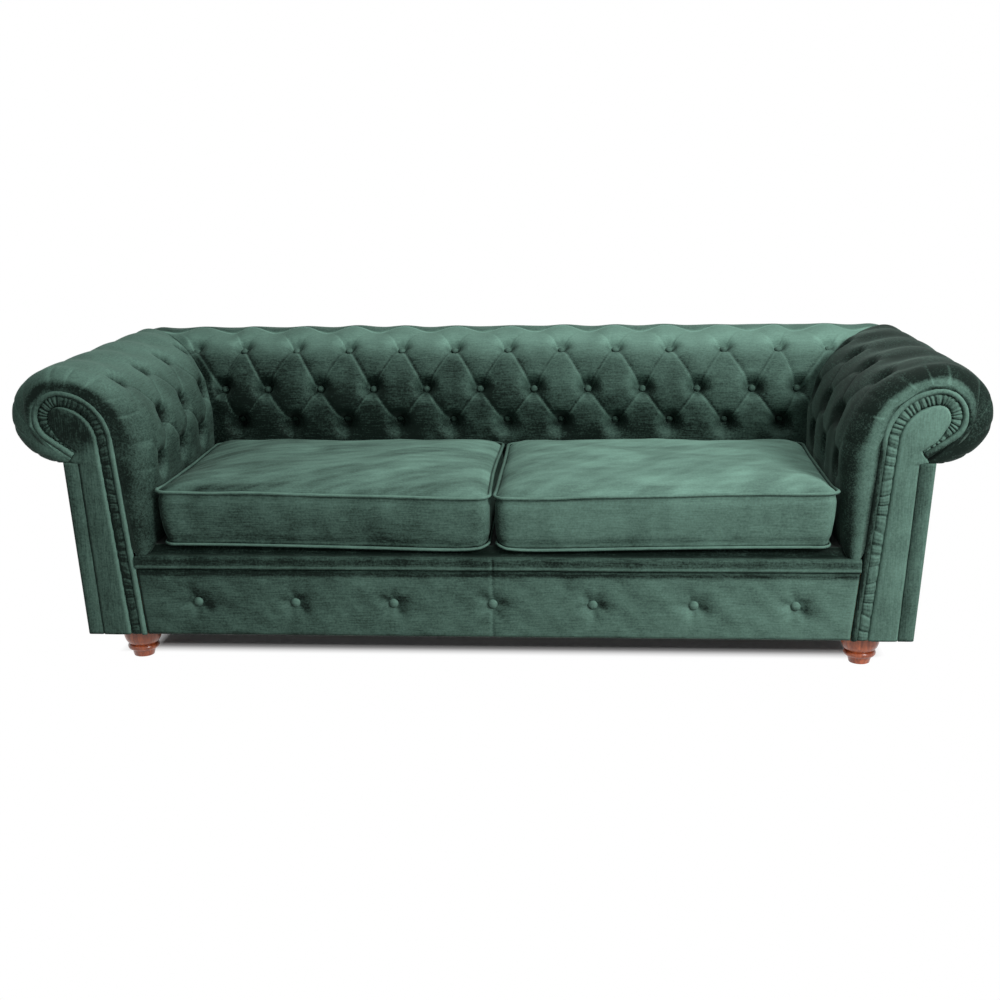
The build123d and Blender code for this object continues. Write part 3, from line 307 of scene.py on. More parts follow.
def tuft_sink(s, run, along, knots, buttons, share, dip):
    """Depth of the buttoned surface below its fullest line.

    Columns count buttons along the piece and rows count them up the section, so the pleats are the lines on
    which column plus or minus half the row is whole. Each diamond is a pillow: a power of the product of its
    distances to its own pleats. Below the low row the pillows run on as sharper channels. Above the high row
    the pleats fade out, and the crest dips like a raised cosine between the buttons. Each button adds a
    flat-bottomed bell, ringed by fine puckers and pulled out sideways. The share makes the pleats shallower.
    Gives, too, masks of painted light and shade: painted highlights on the pleats' edges less painted shade
    in their creases, painted light in arcs above the buttons, and painted shade in the pits round them.
    """
    rows = section_marks(s)[3]
    column = np.interp(run, *knots)
    row = np.interp(along, rows, np.arange(4.0))
    plus = column + row / 2
    minus = column - row / 2
    cell = np.floor(plus) - np.floor(minus)
    plus -= np.floor(plus)
    minus -= np.floor(minus)
    soft = 0.014
    lattice = 16 * (plus + soft) * (1 - plus + soft) * (minus + soft) * (1 - minus + soft)
    lower = 4 * (minus + soft) * (1 - plus + soft)
    upper = 4 * (plus + soft) * (1 - minus + soft)
    channel = column - np.floor(column)
    below = 4 * (channel + soft) * (1 - channel + soft)
    full = np.where(cell <= 0, lower, np.where(cell >= 3, upper, lattice))
    full = np.where(along < rows[0], below, full)
    puff = np.clip(full, 0, 1) ** (0.21 - 0.09 * ease((rows[0] - along) / 0.03))
    puff = puff + (1 - puff) * ease((row - 2.05) / 0.8)
    between = (0.5 - 0.5 * np.cos(2 * np.pi * column)) ** 1.5
    dips = dip * between * bell(along - rows[3], 0.085)
    depth = share * pleat_depth(s, along)
    near = np.zeros_like(run)
    painted_halo = np.zeros_like(run)
    pits = np.zeros_like(run)
    hollow = np.zeros_like(run)
    for (places, sunk), place in zip(buttons, rows):
        nearest = np.abs(run[..., None] - places).argmin(-1)
        across = run - places[nearest]
        lift = along - place
        distance = np.hypot(across, lift)
        beyond = np.clip(distance - s.button_radius * 0.9, 0, None)
        turn = np.arctan2(lift, across)
        puckers = np.cos(9 * turn + 2.4 * nearest) * bell(distance - 0.021, 0.011)
        pulls = np.sin(lift / 0.0021 + 3 * nearest) * bell(lift, 0.012) * bell(distance - 0.035, 0.022)
        pits += (sunk - share * pleat_depth(s, place)) * bell(beyond, 0.018)
        pits += 0.7 * MM * puckers + 0.5 * MM * pulls
        near = np.maximum(near, bell(beyond, 0.008))
        # Masks for painted shade in the pit round each button and painted light in an arc above it
        hollow = np.maximum(hollow, bell(beyond, 0.013))
        painted_halo = np.maximum(painted_halo, bell(distance, 0.034) * ease((lift + 0.008) / 0.02))
    fades = (1 - ease((row - 2.05) / 0.8)) * (along > rows[0])
    # Painted highlights along one side of each pleat, less painted shade in their creases, fading above the
    # high row
    edges = bell(1 - plus - 0.046, 0.020) + 0.5 * bell(minus - 0.046, 0.020)
    edges -= 0.9 * bell(np.minimum(plus, 1 - plus), 0.020)
    edges -= 0.5 * bell(np.minimum(minus, 1 - minus), 0.020)
    return depth * (1 - puff * (1 - near)) + pits + dips, edges * fades, painted_halo, hollow


def crest_seam(s, run, along, knots):
    """Seam behind the pillows of the back's crest.

    The seam swings back over each high button like a raised cosine. In front of it the cloth dips between
    the buttons, a narrow bell sinks it, and the roll lies a little lower behind it. Gives the depth, a mask
    for a painted highlight line on the pillows' lip, and the share behind the seam, which fades down the back
    of the roll and is painted dark there as shade.
    """
    top = section_marks(s)[1]
    hump = 0.5 + 0.5 * np.cos(2 * np.pi * np.interp(run, *knots))
    ahead = along - (top - 0.034 + 0.022 * hump)
    behind = ease(ahead / 0.008 + 0.5)
    dip = CREST_DIP * (1 - hump) ** 1.2 * bell(ahead, 0.055)
    lower = 2 * MM + 4 * MM * (1 - hump)
    depth = dip * (1 - behind) + lower * behind * bell(ahead, 0.09) + 3.5 * MM * bell(ahead, 0.005)
    return depth, bell(ahead + 0.008, 0.006), behind * bell(ahead, 0.11)


def grid_faces(rows, cols, ring):
    """Corner numbers of the faces of a grid of points; ring joins the last column to the first."""
    across = cols if ring else cols - 1
    r, c = np.meshgrid(np.arange(rows - 1), np.arange(across), indexing="ij")
    n = (c + 1) % cols
    corners = [r * cols + c, r * cols + n, (r + 1) * cols + n, (r + 1) * cols + c]
    return np.stack(corners, axis=-1).reshape(-1, 4)


def total_pile_and_painted_light(weights, **areas):
    """Tone of a piece, how its pile is brushed together with painted light and shade: its base, plus each
    area's share times the weight of the same name.
    """
    return weights.get("base", 0) + sum(weights.get(name, 0) * area for name, area in areas.items())


def lay_pile_and_painted_light(mesh, nap, lean):
    """Writes the tone, from 0 to 1, that mixes the velvet from its deep to its light colour: how the pile is
    brushed, together with painted light and shade.

    A given share is raised by the lean times the cosine between the surface's normal and the way the light
    comes
    from, up and to the right: painted shading by slope, so that the sides of each fold are painted lighter or
    darker as that light would fall on them.
    """
    count = len(mesh.vertices)
    normals = np.empty(count * 3)
    mesh.vertices.foreach_get("normal", normals)
    slope = normals.reshape(-1, 3) @ PAINTED_LIGHT_WAY
    known = "nap" in mesh.attributes
    painted_light_and_pile = mesh.attributes["nap"] if known else mesh.attributes.new("nap", "FLOAT", "POINT")
    painted_light_and_pile.data.foreach_set("value", np.clip(nap + lean * slope, 0, 1).astype(np.float32))


def make_piece(
    name, points, faces, finish, node, nap=0.3, lean=0.2, body="sofa_body", closed=True
):
    """Puts points and faces into a mesh that rides on a body, wears a finish and stands for a CAD node."""
    mesh = bpy.data.meshes.new(name)
    mesh.from_pydata(points.reshape(-1, 3).tolist(), [], faces)
    painted_light_and_pile = mesh.attributes.new("nap", "FLOAT", "POINT")
    painted_light_and_pile.data.foreach_set("value", np.broadcast_to(nap, points.shape[:-1]).astype(np.float32).ravel())
    if closed:
        shape = bmesh.new()
        shape.from_mesh(mesh)
        bmesh.ops.remove_doubles(shape, verts=shape.verts, dist=1e-6)
        bmesh.ops.recalc_face_normals(shape, faces=shape.faces)
        shape.to_mesh(mesh)
        shape.free()
    mesh.polygons.foreach_set("use_smooth", np.ones(len(mesh.polygons), bool))
    mesh.materials.append(finish)
    mesh.update()
    # Painted shading by slope: the tone is raised on surfaces facing the light's way and lowered on those
    # turned from it
    level = np.empty(len(mesh.vertices), np.float32)
    mesh.attributes["nap"].data.foreach_get("value", level)
    lay_pile_and_painted_light(mesh, level, lean)
    piece = bpy.data.objects.new(name, mesh)
    bpy.context.scene.collection.objects.link(piece)
    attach(piece, body)
    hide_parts(node)
    return piece


def faces_of(points):
    """Faces of an open grid of points."""
    return grid_faces(*points.shape[:2], False).tolist()


def tube_faces(points):
    """Faces of a closed tube of rings, with a face over each end."""
    rows, cols = points.shape[:2]
    ends = [list(range(cols))[::-1], list(range((rows - 1) * cols, rows * cols))]
    return grid_faces(rows, cols, True).tolist() + ends


def sided(points, sign):
    """Points of a right-hand piece; a sign of -1 mirrors them for the left."""
    return points * np.array([sign, 1, 1])


# Scroll of the facings, in distance out from the seat and height


def scroll(s):
    """Angles of the scroll: lean of the seat side, slope of the underside, and where its arcs end."""
    shoulder_in, shoulder_z = shoulder_middle(s)
    reach = math.hypot(shoulder_in - s.foot_inner, shoulder_z - s.base)
    lean = math.atan2(shoulder_z - s.base, shoulder_in - s.foot_inner)
    lean += math.asin(s.shoulder_radius / reach)
    under_reach = math.hypot(s.head_in - s.neck_in, s.head_z - s.neck_z)
    under = math.atan2(s.head_z - s.neck_z, s.head_in - s.neck_in)
    under -= math.asin(s.head_radius / under_reach)
    return lean, under, lean + math.pi / 2, under - math.pi / 2


def shoulder_middle(s):
    """Centre of the shoulder's large arc, which touches the head's small arc at the crown."""
    gap = s.shoulder_radius - s.head_radius
    return s.head_in - gap * math.cos(s.crown), s.head_z - gap * math.sin(s.crown)


def head_point(s, angle, inset):
    """Point on the scroll's two arcs at an angle, drawn in by an inset."""
    shoulder_in, shoulder_z = shoulder_middle(s)
    wide = angle > s.crown
    reach = np.where(wide, s.shoulder_radius, s.head_radius) - inset
    out = np.where(wide, shoulder_in, s.head_in) + reach * np.cos(angle)
    return out, np.where(wide, shoulder_z, s.head_z) + reach * np.sin(angle)


def inner_line(s, z, inset):
    """Distance out of the facing's seat-side edge at height z, drawn in by an inset."""
    lean, turn_in = scroll(s)[::2]
    touch_out, touch_z = head_point(s, turn_in, inset)
    return touch_out + (z - touch_z) / math.tan(lean)


def scroll_point(s, way, inset, foot):
    """Point on the scroll's edge, drawn in by an inset.

    The way runs 0 to 1 up the straight seat side, 1 to 2 round the head and 2 to 3 along the underside to the
    neck; each stretch is a straight or angular blend between its ends.
    """
    under, turn_in, turn_under = scroll(s)[1:]
    angle = turn_in + np.clip(way - 1, 0, 1) * (turn_under - turn_in)
    out, up = head_point(s, angle, inset)
    first = np.clip(way, 0, 1)
    foot_out = inner_line(s, foot, inset)
    rising = way < 1
    out = np.where(rising, foot_out + (out - foot_out) * first, out)
    up = np.where(rising, foot + (up - foot) * first, up)
    last = np.clip(way - 2, 0, 1)
    neck_out = s.neck_in - inset * math.sin(under)
    neck_up = s.neck_z + inset * math.cos(under)
    ending = way > 2
    out = np.where(ending, out + (neck_out - out) * last, out)
    up = np.where(ending, up + (neck_up - up) * last, up)
    return out, up


def scroll_ways(s, step, foot):
    """Ways along the scroll's edge at even steps of length."""
    fine = np.linspace(0, 3, 3001)
    out, up = scroll_point(s, fine, s.piping, foot)
    run = np.concatenate([[0], np.cumsum(np.hypot(np.diff(out), np.diff(up)))])
    count = int(run[-1] / step)
    return np.interp(np.linspace(0, run[-1], count), run, fine), np.linspace(0, run[-1], count)


def padding_core(s):
    """Flat facets on the frame side of the padding, from the neck back down to the deck."""
    ways = np.concatenate([[3.0], np.linspace(2, 1, 7)])
    out, up = scroll_point(s, ways, -0.3 * MM, s.deck)
    return np.append(out, inner_line(s, s.deck, -0.3 * MM)), np.append(up, s.deck)


def edge_line(s, along):
    """Line on which an arm's padding meets the facing's piping, matched to the section by stretches.

    The seat side follows the scroll's straight edge, the inside face runs to the top of the head and the roll
    runs from there to the neck, each at an even pace.
    """
    face, top, end = section_marks(s)[:3]
    turn_in, turn_under = scroll(s)[2:]
    grow = -0.010
    tall = float(head_point(s, turn_in, grow)[1]) - s.base
    middle = min((s.deck + face - s.base) / tall, 0.97)
    crown_way = 1 + (turn_in - math.pi / 2) / (turn_in - turn_under)
    places = [0, face, (face + top) / 2, top, end]
    ways = [(s.deck - s.base) / tall, middle, (1 + crown_way) / 2, crown_way, 3.0]
    return scroll_point(s, np.interp(along, places, ways), grow, s.base)


# Finishes


def add_node(tree, kind, inputs=None, **settings):
    """Adds a node with its settings; an input takes a value, or another node's output to link."""
    made = tree.nodes.new(kind)
    for name, value in settings.items():
        setattr(made, name, value)
    for key, value in (inputs or {}).items():
        if isinstance(value, bpy.types.NodeSocket):
            tree.links.new(value, made.inputs[key])
        else:
            made.inputs[key].default_value = value
    return made


def new_finish(name):
    """New material with an empty tree, its shader and its object coordinates."""
    made = bpy.data.materials.new(name)
    made.use_nodes = True
    tree = made.node_tree
    tree.nodes.clear()
    shader = add_node(tree, "ShaderNodeBsdfPrincipled")
    add_node(tree, "ShaderNodeOutputMaterial", {"Surface": shader.outputs[0]})
    where = add_node(tree, "ShaderNodeTexCoord").outputs["Object"]
    return made, tree, shader, where


def join_up(tree, shader, shade, rough, relief):
    """Links a colour mix, a roughness and a relief to the shader."""
    tree.links.new(shade.outputs[2], shader.inputs["Base Color"])
    tree.links.new(rough.outputs[0], shader.inputs["Roughness"])
    tree.links.new(relief.outputs[0], shader.inputs["Normal"])


def velvet(name, streak):
    """Cotton velvet: short dense pile that drinks light face on and glows at the edge of a fold.

    The tone attribute sets the mix from the deep to the light colour: it carries how the pile is brushed
    together with painted light and shade, painted highlights, painted shadows and painted shading by slope
    among them. Patches of about 90 mm are where hands have brushed it, streaks of about 2.5 by 40 mm run
    along the cloth, tufts lying over show in specks of 5 mm, and the pile itself, really 0.3 mm, is drawn at
    2.5 mm so that it shows.
    """
    if name in bpy.data.materials:
        return bpy.data.materials[name]
    c = tint()
    made, tree, shader, where = new_finish(name)
    # Tone attribute: how the pile is brushed, together with painted light and shade
    painted_light_and_pile = add_node(tree, "ShaderNodeAttribute", attribute_name="nap")
    stretched = add_node(tree, "ShaderNodeMapping", {"Vector": where, "Scale": streak})
    layers = (
        ({"Vector": where, "Scale": 1 / 0.09, "Detail": 5.0, "Roughness": 0.6}, 0.08),
        ({"Vector": stretched.outputs[0], "Scale": 1.0, "Detail": 4.0, "Roughness": 0.65}, 0.09),
        ({"Vector": where, "Scale": 1 / 0.005, "Detail": 3.0, "Roughness": 0.7}, 0.09),
    )
    share = painted_light_and_pile
    for pattern, reach in layers:
        noise = add_node(tree, "ShaderNodeTexNoise", pattern)
        span = {"From Min": 0.3, "From Max": 0.7, "To Min": -reach, "To Max": reach}
        uneven = add_node(tree, "ShaderNodeMapRange", {"Value": noise.outputs[0], **span})
        so_far = share.outputs["Fac" if share is painted_light_and_pile else 0]
        share = add_node(tree, "ShaderNodeMath", {0: so_far, 1: uneven.outputs[0]}, operation="ADD")
    share.use_clamp = True
    ends = {6: (*c.pile_deep, 1), 7: (*c.pile_light, 1)}
    shade = add_node(tree, "ShaderNodeMix", {0: share.outputs[0], **ends}, data_type="RGBA")
    rough = add_node(tree, "ShaderNodeMapRange", {"Value": share.outputs[0], "To Min": 0.72, "To Max": 0.9})
    pile = add_node(tree, "ShaderNodeTexNoise", {"Vector": where, "Scale": 1 / 0.0025, "Detail": 2.0})
    crush = add_node(tree, "ShaderNodeTexNoise", {"Vector": where, "Scale": 1 / 0.026, "Detail": 2.0})
    relief = {"Height": pile.outputs[0], "Strength": 0.2, "Distance": 0.5 * MM}
    fine = add_node(tree, "ShaderNodeBump", relief)
    relief = {"Height": crush.outputs[0], "Strength": 0.12, "Distance": 3 * MM, "Normal": fine.outputs[0]}
    mottle = add_node(tree, "ShaderNodeBump", relief)
    for socket, value in (
        ("Sheen Weight", 0.15),
        ("Sheen Roughness", 0.4),
        ("Sheen Tint", (*c.pile_sheen, 1)),
        ("Specular IOR Level", 0.1),
    ):
        shader.inputs[socket].default_value = value
    join_up(tree, shader, shade, rough, mottle)
    return made


def main_velvet():
    """Velvet of the back, rail and cushions, its streaks running along the sofa."""
    return velvet("green_cotton_velvet", (26, 400, 400))


def arm_velvet():
    """Velvet of the arms, cut so that its streaks run front to back."""
    return velvet("green_cotton_velvet_arm", (400, 26, 400))


def upright_velvet():
    """Velvet of the facings and outside covers, hung so that its streaks run up and down."""
    return velvet("green_cotton_velvet_upright", (400, 400, 26))


def grained(name, dark, light, grain, rough, coat, along):
    """Wood: growth rings about as wide as the grain value, warped by slow noise, with fine pores."""
    if name in bpy.data.materials:
        return bpy.data.materials[name]
    made, tree, shader, where = new_finish(name)
    stretch = [1 / grain] * 3
    stretch[along] = 1 / (grain * 14)
    turned = add_node(tree, "ShaderNodeMapping", {"Vector": where, "Scale": stretch})
    pattern = {"Vector": turned.outputs[0], "Scale": 1.0, "Detail": 6.0, "Distortion": 0.8}
    rings = add_node(tree, "ShaderNodeTexNoise", pattern)
    span = {"From Min": 0.3, "From Max": 0.72}
    share = add_node(tree, "ShaderNodeMapRange", {"Value": rings.outputs[0], **span}, clamp=True)
    ends = {6: (*dark, 1), 7: (*light, 1)}
    shade = add_node(tree, "ShaderNodeMix", {0: share.outputs[0], **ends}, data_type="RGBA")
    pores = add_node(tree, "ShaderNodeTexNoise", {"Vector": turned.outputs[0], "Scale": 6.0, "Detail": 2.0})
    relief = {"Height": pores.outputs[0], "Strength": 0.12, "Distance": 0.4 * MM}
    bump = add_node(tree, "ShaderNodeBump", relief)
    span = {"To Min": rough * 0.8, "To Max": rough * 1.2}
    finish = add_node(tree, "ShaderNodeMapRange", {"Value": pores.outputs[0], **span})
    shader.inputs["Coat Weight"].default_value = coat
    shader.inputs["Coat Roughness"].default_value = 0.12
    join_up(tree, shader, shade, finish, bump)
    return made


def matted(name, dark, light, grain, rough, metal, lift):
    """Even material with a speckle of about the grain value in colour, roughness and relief."""
    if name in bpy.data.materials:
        return bpy.data.materials[name]
    made, tree, shader, where = new_finish(name)
    speck = add_node(tree, "ShaderNodeTexNoise", {"Vector": where, "Scale": 1 / grain, "Detail": 3.0})
    cloud = add_node(tree, "ShaderNodeTexNoise", {"Vector": where, "Scale": 1 / (grain * 30), "Detail": 2.0})
    pair = {0: speck.outputs[0], 1: cloud.outputs[0]}
    both = add_node(tree, "ShaderNodeMath", pair, operation="MULTIPLY")
    span = {"From Min": 0.1, "From Max": 0.42}
    share = add_node(tree, "ShaderNodeMapRange", {"Value": both.outputs[0], **span}, clamp=True)
    ends = {6: (*dark, 1), 7: (*light, 1)}
    shade = add_node(tree, "ShaderNodeMix", {0: share.outputs[0], **ends}, data_type="RGBA")
    span = {"To Min": rough * 0.85, "To Max": min(1, rough * 1.15)}
    finish = add_node(tree, "ShaderNodeMapRange", {"Value": share.outputs[0], **span})
    bump = add_node(tree, "ShaderNodeBump", {"Height": speck.outputs[0], "Strength": 0.4, "Distance": lift})
    shader.inputs["Metallic"].default_value = metal
    join_up(tree, shader, shade, finish, bump)
    return made


def spun_lining():
    """Spunbonded lining: thin black felted polypropylene with a faint pressed grid, dull all over."""
    dark = tuple(tint().lining)
    return matted("spunbonded_lining", dark, tuple(2.2 * p for p in dark), 1.8 * MM, 0.85, 0.0, 0.3 * MM)


# Buttoned padding

# Depths of the seats of the low, middle and high buttons, and of the dip between the crest's pillows
SEATS = (0.041, 0.041, 0.0255)
CREST_DIP = 0.011
# Points up a padded section, and reach of the mitre where the back meets an arm
SECTION_STEPS, MITRE_REACH = 196, 0.022


def back_plan(s):
    """Places along the back that pair with columns, and its rows of buttons with their seats' depths."""
    last = 5 * s.back_pitch
    mid, high = s.seat_half - s.corner_mid, s.seat_half + s.corner_high
    ends = np.array([last, mid, high, high + s.back_pitch])
    places, columns = np.concatenate([-ends[::-1], ends]), np.array([-7, -6, -5.5, -5, 5, 5.5, 6, 7])
    rows = (np.arange(-5.0, 6), np.arange(-5.5, 6), np.arange(-6.0, 7))
    return (places, columns), [(np.interp(row, columns, places), sunk) for row, sunk in zip(rows, SEATS)]


def arm_plan(s):
    """Places along an arm that pair with columns, and its rows of buttons with their seats' depths."""
    columns = np.array([-2.0, 6.0])
    rows = (np.arange(0.0, 3), np.arange(0.5, 3), np.arange(0.0, 4))
    buttons = [(s.arm_first + s.arm_pitch * row, sunk) for row, sunk in zip(rows, SEATS)]
    return (s.arm_first + s.arm_pitch * columns, columns), buttons


def padded_rings(s, out, up):
    """Closes each section of a padded surface with the facets of its frame side."""
    core_out, core_up = padding_core(s)
    count = len(core_out)
    core_out = np.broadcast_to(core_out, (len(out), count))
    core_up = np.broadcast_to(core_up, (len(out), count))
    return np.concatenate([out, core_out], axis=1), np.concatenate([up, core_up], axis=1)


class SOFA_OT_inside_back(bpy.types.Operator):
    """Make the buttoned inside back with its rolled top"""

    bl_idname = "sofa.inside_back"
    bl_label = "Inside back"

    def execute(self, context):
        s = size()
        top, end = section_marks(s)[1:3]
        marks = [0, top - 0.060, top + 0.020, end]
        along = np.interp(np.arange(SECTION_STEPS), [0, 112, 144, SECTION_STEPS - 1], marks)[None, :]
        across = np.linspace(-1, 1, 480)[:, None]
        out, up, normal_out, normal_up = section_line(s, along)
        mitre_sink = pleat_depth(s, along)
        half = s.seat_half + out - normal_out * mitre_sink
        x = across * half
        knots, buttons = back_plan(s)
        sink, lips, rings, hollows = tuft_sink(s, x, along + 0 * x, knots, buttons, 1.0, 0.0)
        drop, line, behind = crest_seam(s, x, along + 0 * x, knots)
        sink = sink + drop
        corner = bell(half - np.abs(x), MITRE_REACH)
        sink = sink + (mitre_sink - sink) * corner
        place = np.stack([x, 0 * x + out, 0 * x + up], axis=-1)
        sink = sink + 1.2 * MM * ripple(place, 0.11, 3)
        out = out - normal_out * sink
        up = up - normal_up * sink
        out, up = padded_rings(s, out, up)
        core_x = across * (s.seat_half + out[:, along.size :])
        x = np.concatenate([x, core_x], axis=1)
        points = np.stack([x, s.seat_back + out, up], axis=-1)
        # Painted light down the back of the roll and on its crest, painted lighter to the right, with painted
        # highlights and shade round the pleats and buttons
        rear = ease((along - top - 0.02) / 0.10)
        spare = ((0, 0), (0, x.shape[1] - along.size))
        painted_light = total_pile_and_painted_light(
            BACK_PAINTED_LIGHT, lips=lips, rings=rings, hollows=hollows, line=line, behind=behind, rear=rear
        )
        crest = ease((up - s.top + 0.085) / 0.07)
        foot = 1 - ease((up - s.low_row) / 0.05)
        nap = total_pile_and_painted_light(BACK_PILE_AND_PAINTED_LIGHT, across=x, crest=crest, foot=foot) + np.pad(painted_light, spare)
        faces = tube_faces(points)
        name, node = "buttoned_inside_back", "inside_back_cover"
        piece = make_piece(name, points, faces, main_velvet(), node, nap, BACK_SLOPE_SHADING)
        return {"FINISHED"}


class SOFA_OT_inside_arms(bpy.types.Operator):
    """Make the buttoned inside arms, rounded over to the facings at the front"""

    bl_idname = "sofa.inside_arms"
    bl_label = "Inside arms"

    def execute(self, context):
        s = size()
        top, end = section_marks(s)[1:3]
        along = np.linspace(0, end, SECTION_STEPS)[None, :]
        out, up, normal_out, normal_up = section_line(s, along)
        mitre_sink = pleat_depth(s, along)
        first, full = 0.006, 0.060
        turn = np.linspace(0, 1, 20) ** 1.4 * (full - first) + first
        mitre = s.seat_back - s.front + out - normal_out * mitre_sink
        share = np.linspace(0, 1, 170)[1:, None]
        run = np.concatenate([turn[:, None] + 0 * mitre, full + share * (mitre - full)])
        sink, lips, rings, hollows = tuft_sink(s, run, along + 0 * run, *arm_plan(s), 0.75, 0.009)
        corner = bell(mitre - run, MITRE_REACH)
        sink = sink + (mitre_sink - sink) * corner
        open_front = ease((run - 0.045) / 0.06)
        sink = sink * open_front + 2 * MM * (1 - open_front)
        heavy = np.sin(np.pi * np.clip((along - top) / (end - top), 0, 1) ** 1.2) ** 2
        sink = sink - 9 * MM * heavy * ease((mitre - run) / 0.3)
        tuck = np.clip((run - first) / (full - first), 0, 1)
        gather = along - np.round(along / 0.062) * 0.062 + 0.010 * np.sin(37 * along)
        fold = bell(gather, 0.006) * np.sqrt(1 - tuck) * ease(tuck * 5) * ease((along - 0.12) / 0.1)
        sink = sink + 4.5 * MM * fold
        place = np.stack([0 * run + out, run, 0 * run + up], axis=-1)
        sink = sink + 1.2 * MM * ripple(place, 0.11, 5)
        out = out - normal_out * sink
        up = up - normal_up * sink
        edge_out, edge_up = edge_line(s, along)
        swell = np.sqrt(1 - (1 - tuck) ** 2)
        out = edge_out + (out - edge_out) * swell
        up = edge_up + (up - edge_up) * swell
        hang = (1 - ease(run / 0.055)) * bell(along, 0.03)
        up = up - 0.026 * hang
        out = out - 2.5 * MM * hang
        out, up = padded_rings(s, out, up)
        core_share = (run[:, :1] - first) / (run[:, :1].max() - first)
        core_run = first + core_share * (s.seat_back - s.front + out[:, along.size :] - first)
        run = np.concatenate([run, core_run], axis=1)
        points = np.stack([s.seat_half + out, s.front + run, up], axis=-1)
        spare = ((0, 0), (0, run.shape[1] - along.size))
        # Masks of painted light and shade: highlights on the front gathers, a sheen along the facing's rim,
        # shade next to the cord round the head, and light on the roll's top, outer side and flank
        creases = np.pad(bell(gather, 2.5 * MM) * (1 - ease((run[:, : along.size] - 0.02) / 0.07)), spare)
        head = ease((up - s.neck_z) / 0.06)
        drawn = np.pad(swell + 0 * along, spare, constant_values=1.0)
        rim = 1 - ease((drawn - 0.15) / (0.9 - 0.5 * head))
        seat_side = np.pad(1 - ease((along - top - 0.02) / 0.10) + 0 * run[:, : along.size], spare)
        areas = {
            "painted_rim_sheen": rim * (0.12 + 0.88 * seat_side),
            "over": ease((up - s.top + 0.08) / 0.06),
            "rim": rim * head * seat_side,
            "outside": 1 - seat_side,
            "lines": np.pad((lips + 0.9 * rings) * open_front, spare),
            "creases": creases * head,
            "flank": (1 - seat_side) * ease((run - 0.09) / 0.14),
            "hollows": np.pad(hollows * open_front, spare) * seat_side,
        }
        for side, sign in SIDES:
            piece = make_piece(
                f"buttoned_inside_arm_{side}",
                sided(points, sign),
                tube_faces(points),
                arm_velvet(),
                f"inside_arm_cover_{side}",
                total_pile_and_painted_light(ARM_PILE_AND_PAINTED_LIGHT[side], **areas),
                ARM_SLOPE_SHADING[side],
            )
        return {"FINISHED"}


def button_shape(radius, rise):
    """Rings of a covered button: its radius follows a flattened round from the rim to the middle."""
    turn = np.linspace(0, 2 * np.pi, 25)[:-1]
    lift = np.array([-2.0, 0.0, 0.12, 0.34, 0.62, 0.84, 0.96, 1.0])
    reach = np.array([0.86, 0.96, 1.0, 0.99, 0.88, 0.66, 0.36, 0.02])
    ring = np.stack([np.cos(turn), np.sin(turn)], axis=-1)
    flat = reach[:, None, None] * radius * ring[None]
    height = np.where(lift < 0, lift * MM, lift * rise)
    return np.concatenate([flat, np.broadcast_to(height[:, None, None], (*flat.shape[:2], 1))], axis=-1)


def set_buttons(name, origins, sides, outs, radius, rise, finish, node, nap):
    """Sets a button at each origin: its own axes are the side, the outward and their cross product."""
    shape = button_shape(radius, rise)
    axes = np.stack([sides, np.cross(outs, sides), outs], axis=1)
    rings, around = shape.shape[:2]
    points = origins[:, None, :] + shape.reshape(-1, 3) @ axes
    starts = np.arange(len(origins))[:, None] * rings * around
    walls = (grid_faces(rings, around, True) + starts[..., None]).reshape(-1, 4).tolist()
    tops = (starts + (rings - 1) * around + np.arange(around)).tolist()
    feet = (starts + np.arange(around)[::-1]).tolist()
    faces = walls + tops + feet
    return make_piece(name, points, faces, finish, node, nap, BUTTON_SLOPE_SHADING)


def button_places(s, rows):
    """Run, distance out, height and outward normal of each button seat of a buttoned piece."""
    found = []
    face_z = s.top - s.face_radius
    low_angle = math.pi + math.asin((face_z - s.low_row) / s.face_radius)
    for (places, sunk), angle in zip(rows, (low_angle, s.mid_row, s.high_row)):
        reach = s.face_radius - sunk - 1.5 * MM
        flat = np.ones(len(places))
        out = (s.face_radius - s.overhang + reach * math.cos(angle)) * flat
        up = (face_z + reach * math.sin(angle)) * flat
        found.append(np.stack([places, out, up, math.cos(angle) * flat, math.sin(angle) * flat], axis=-1))
    return np.concatenate(found)


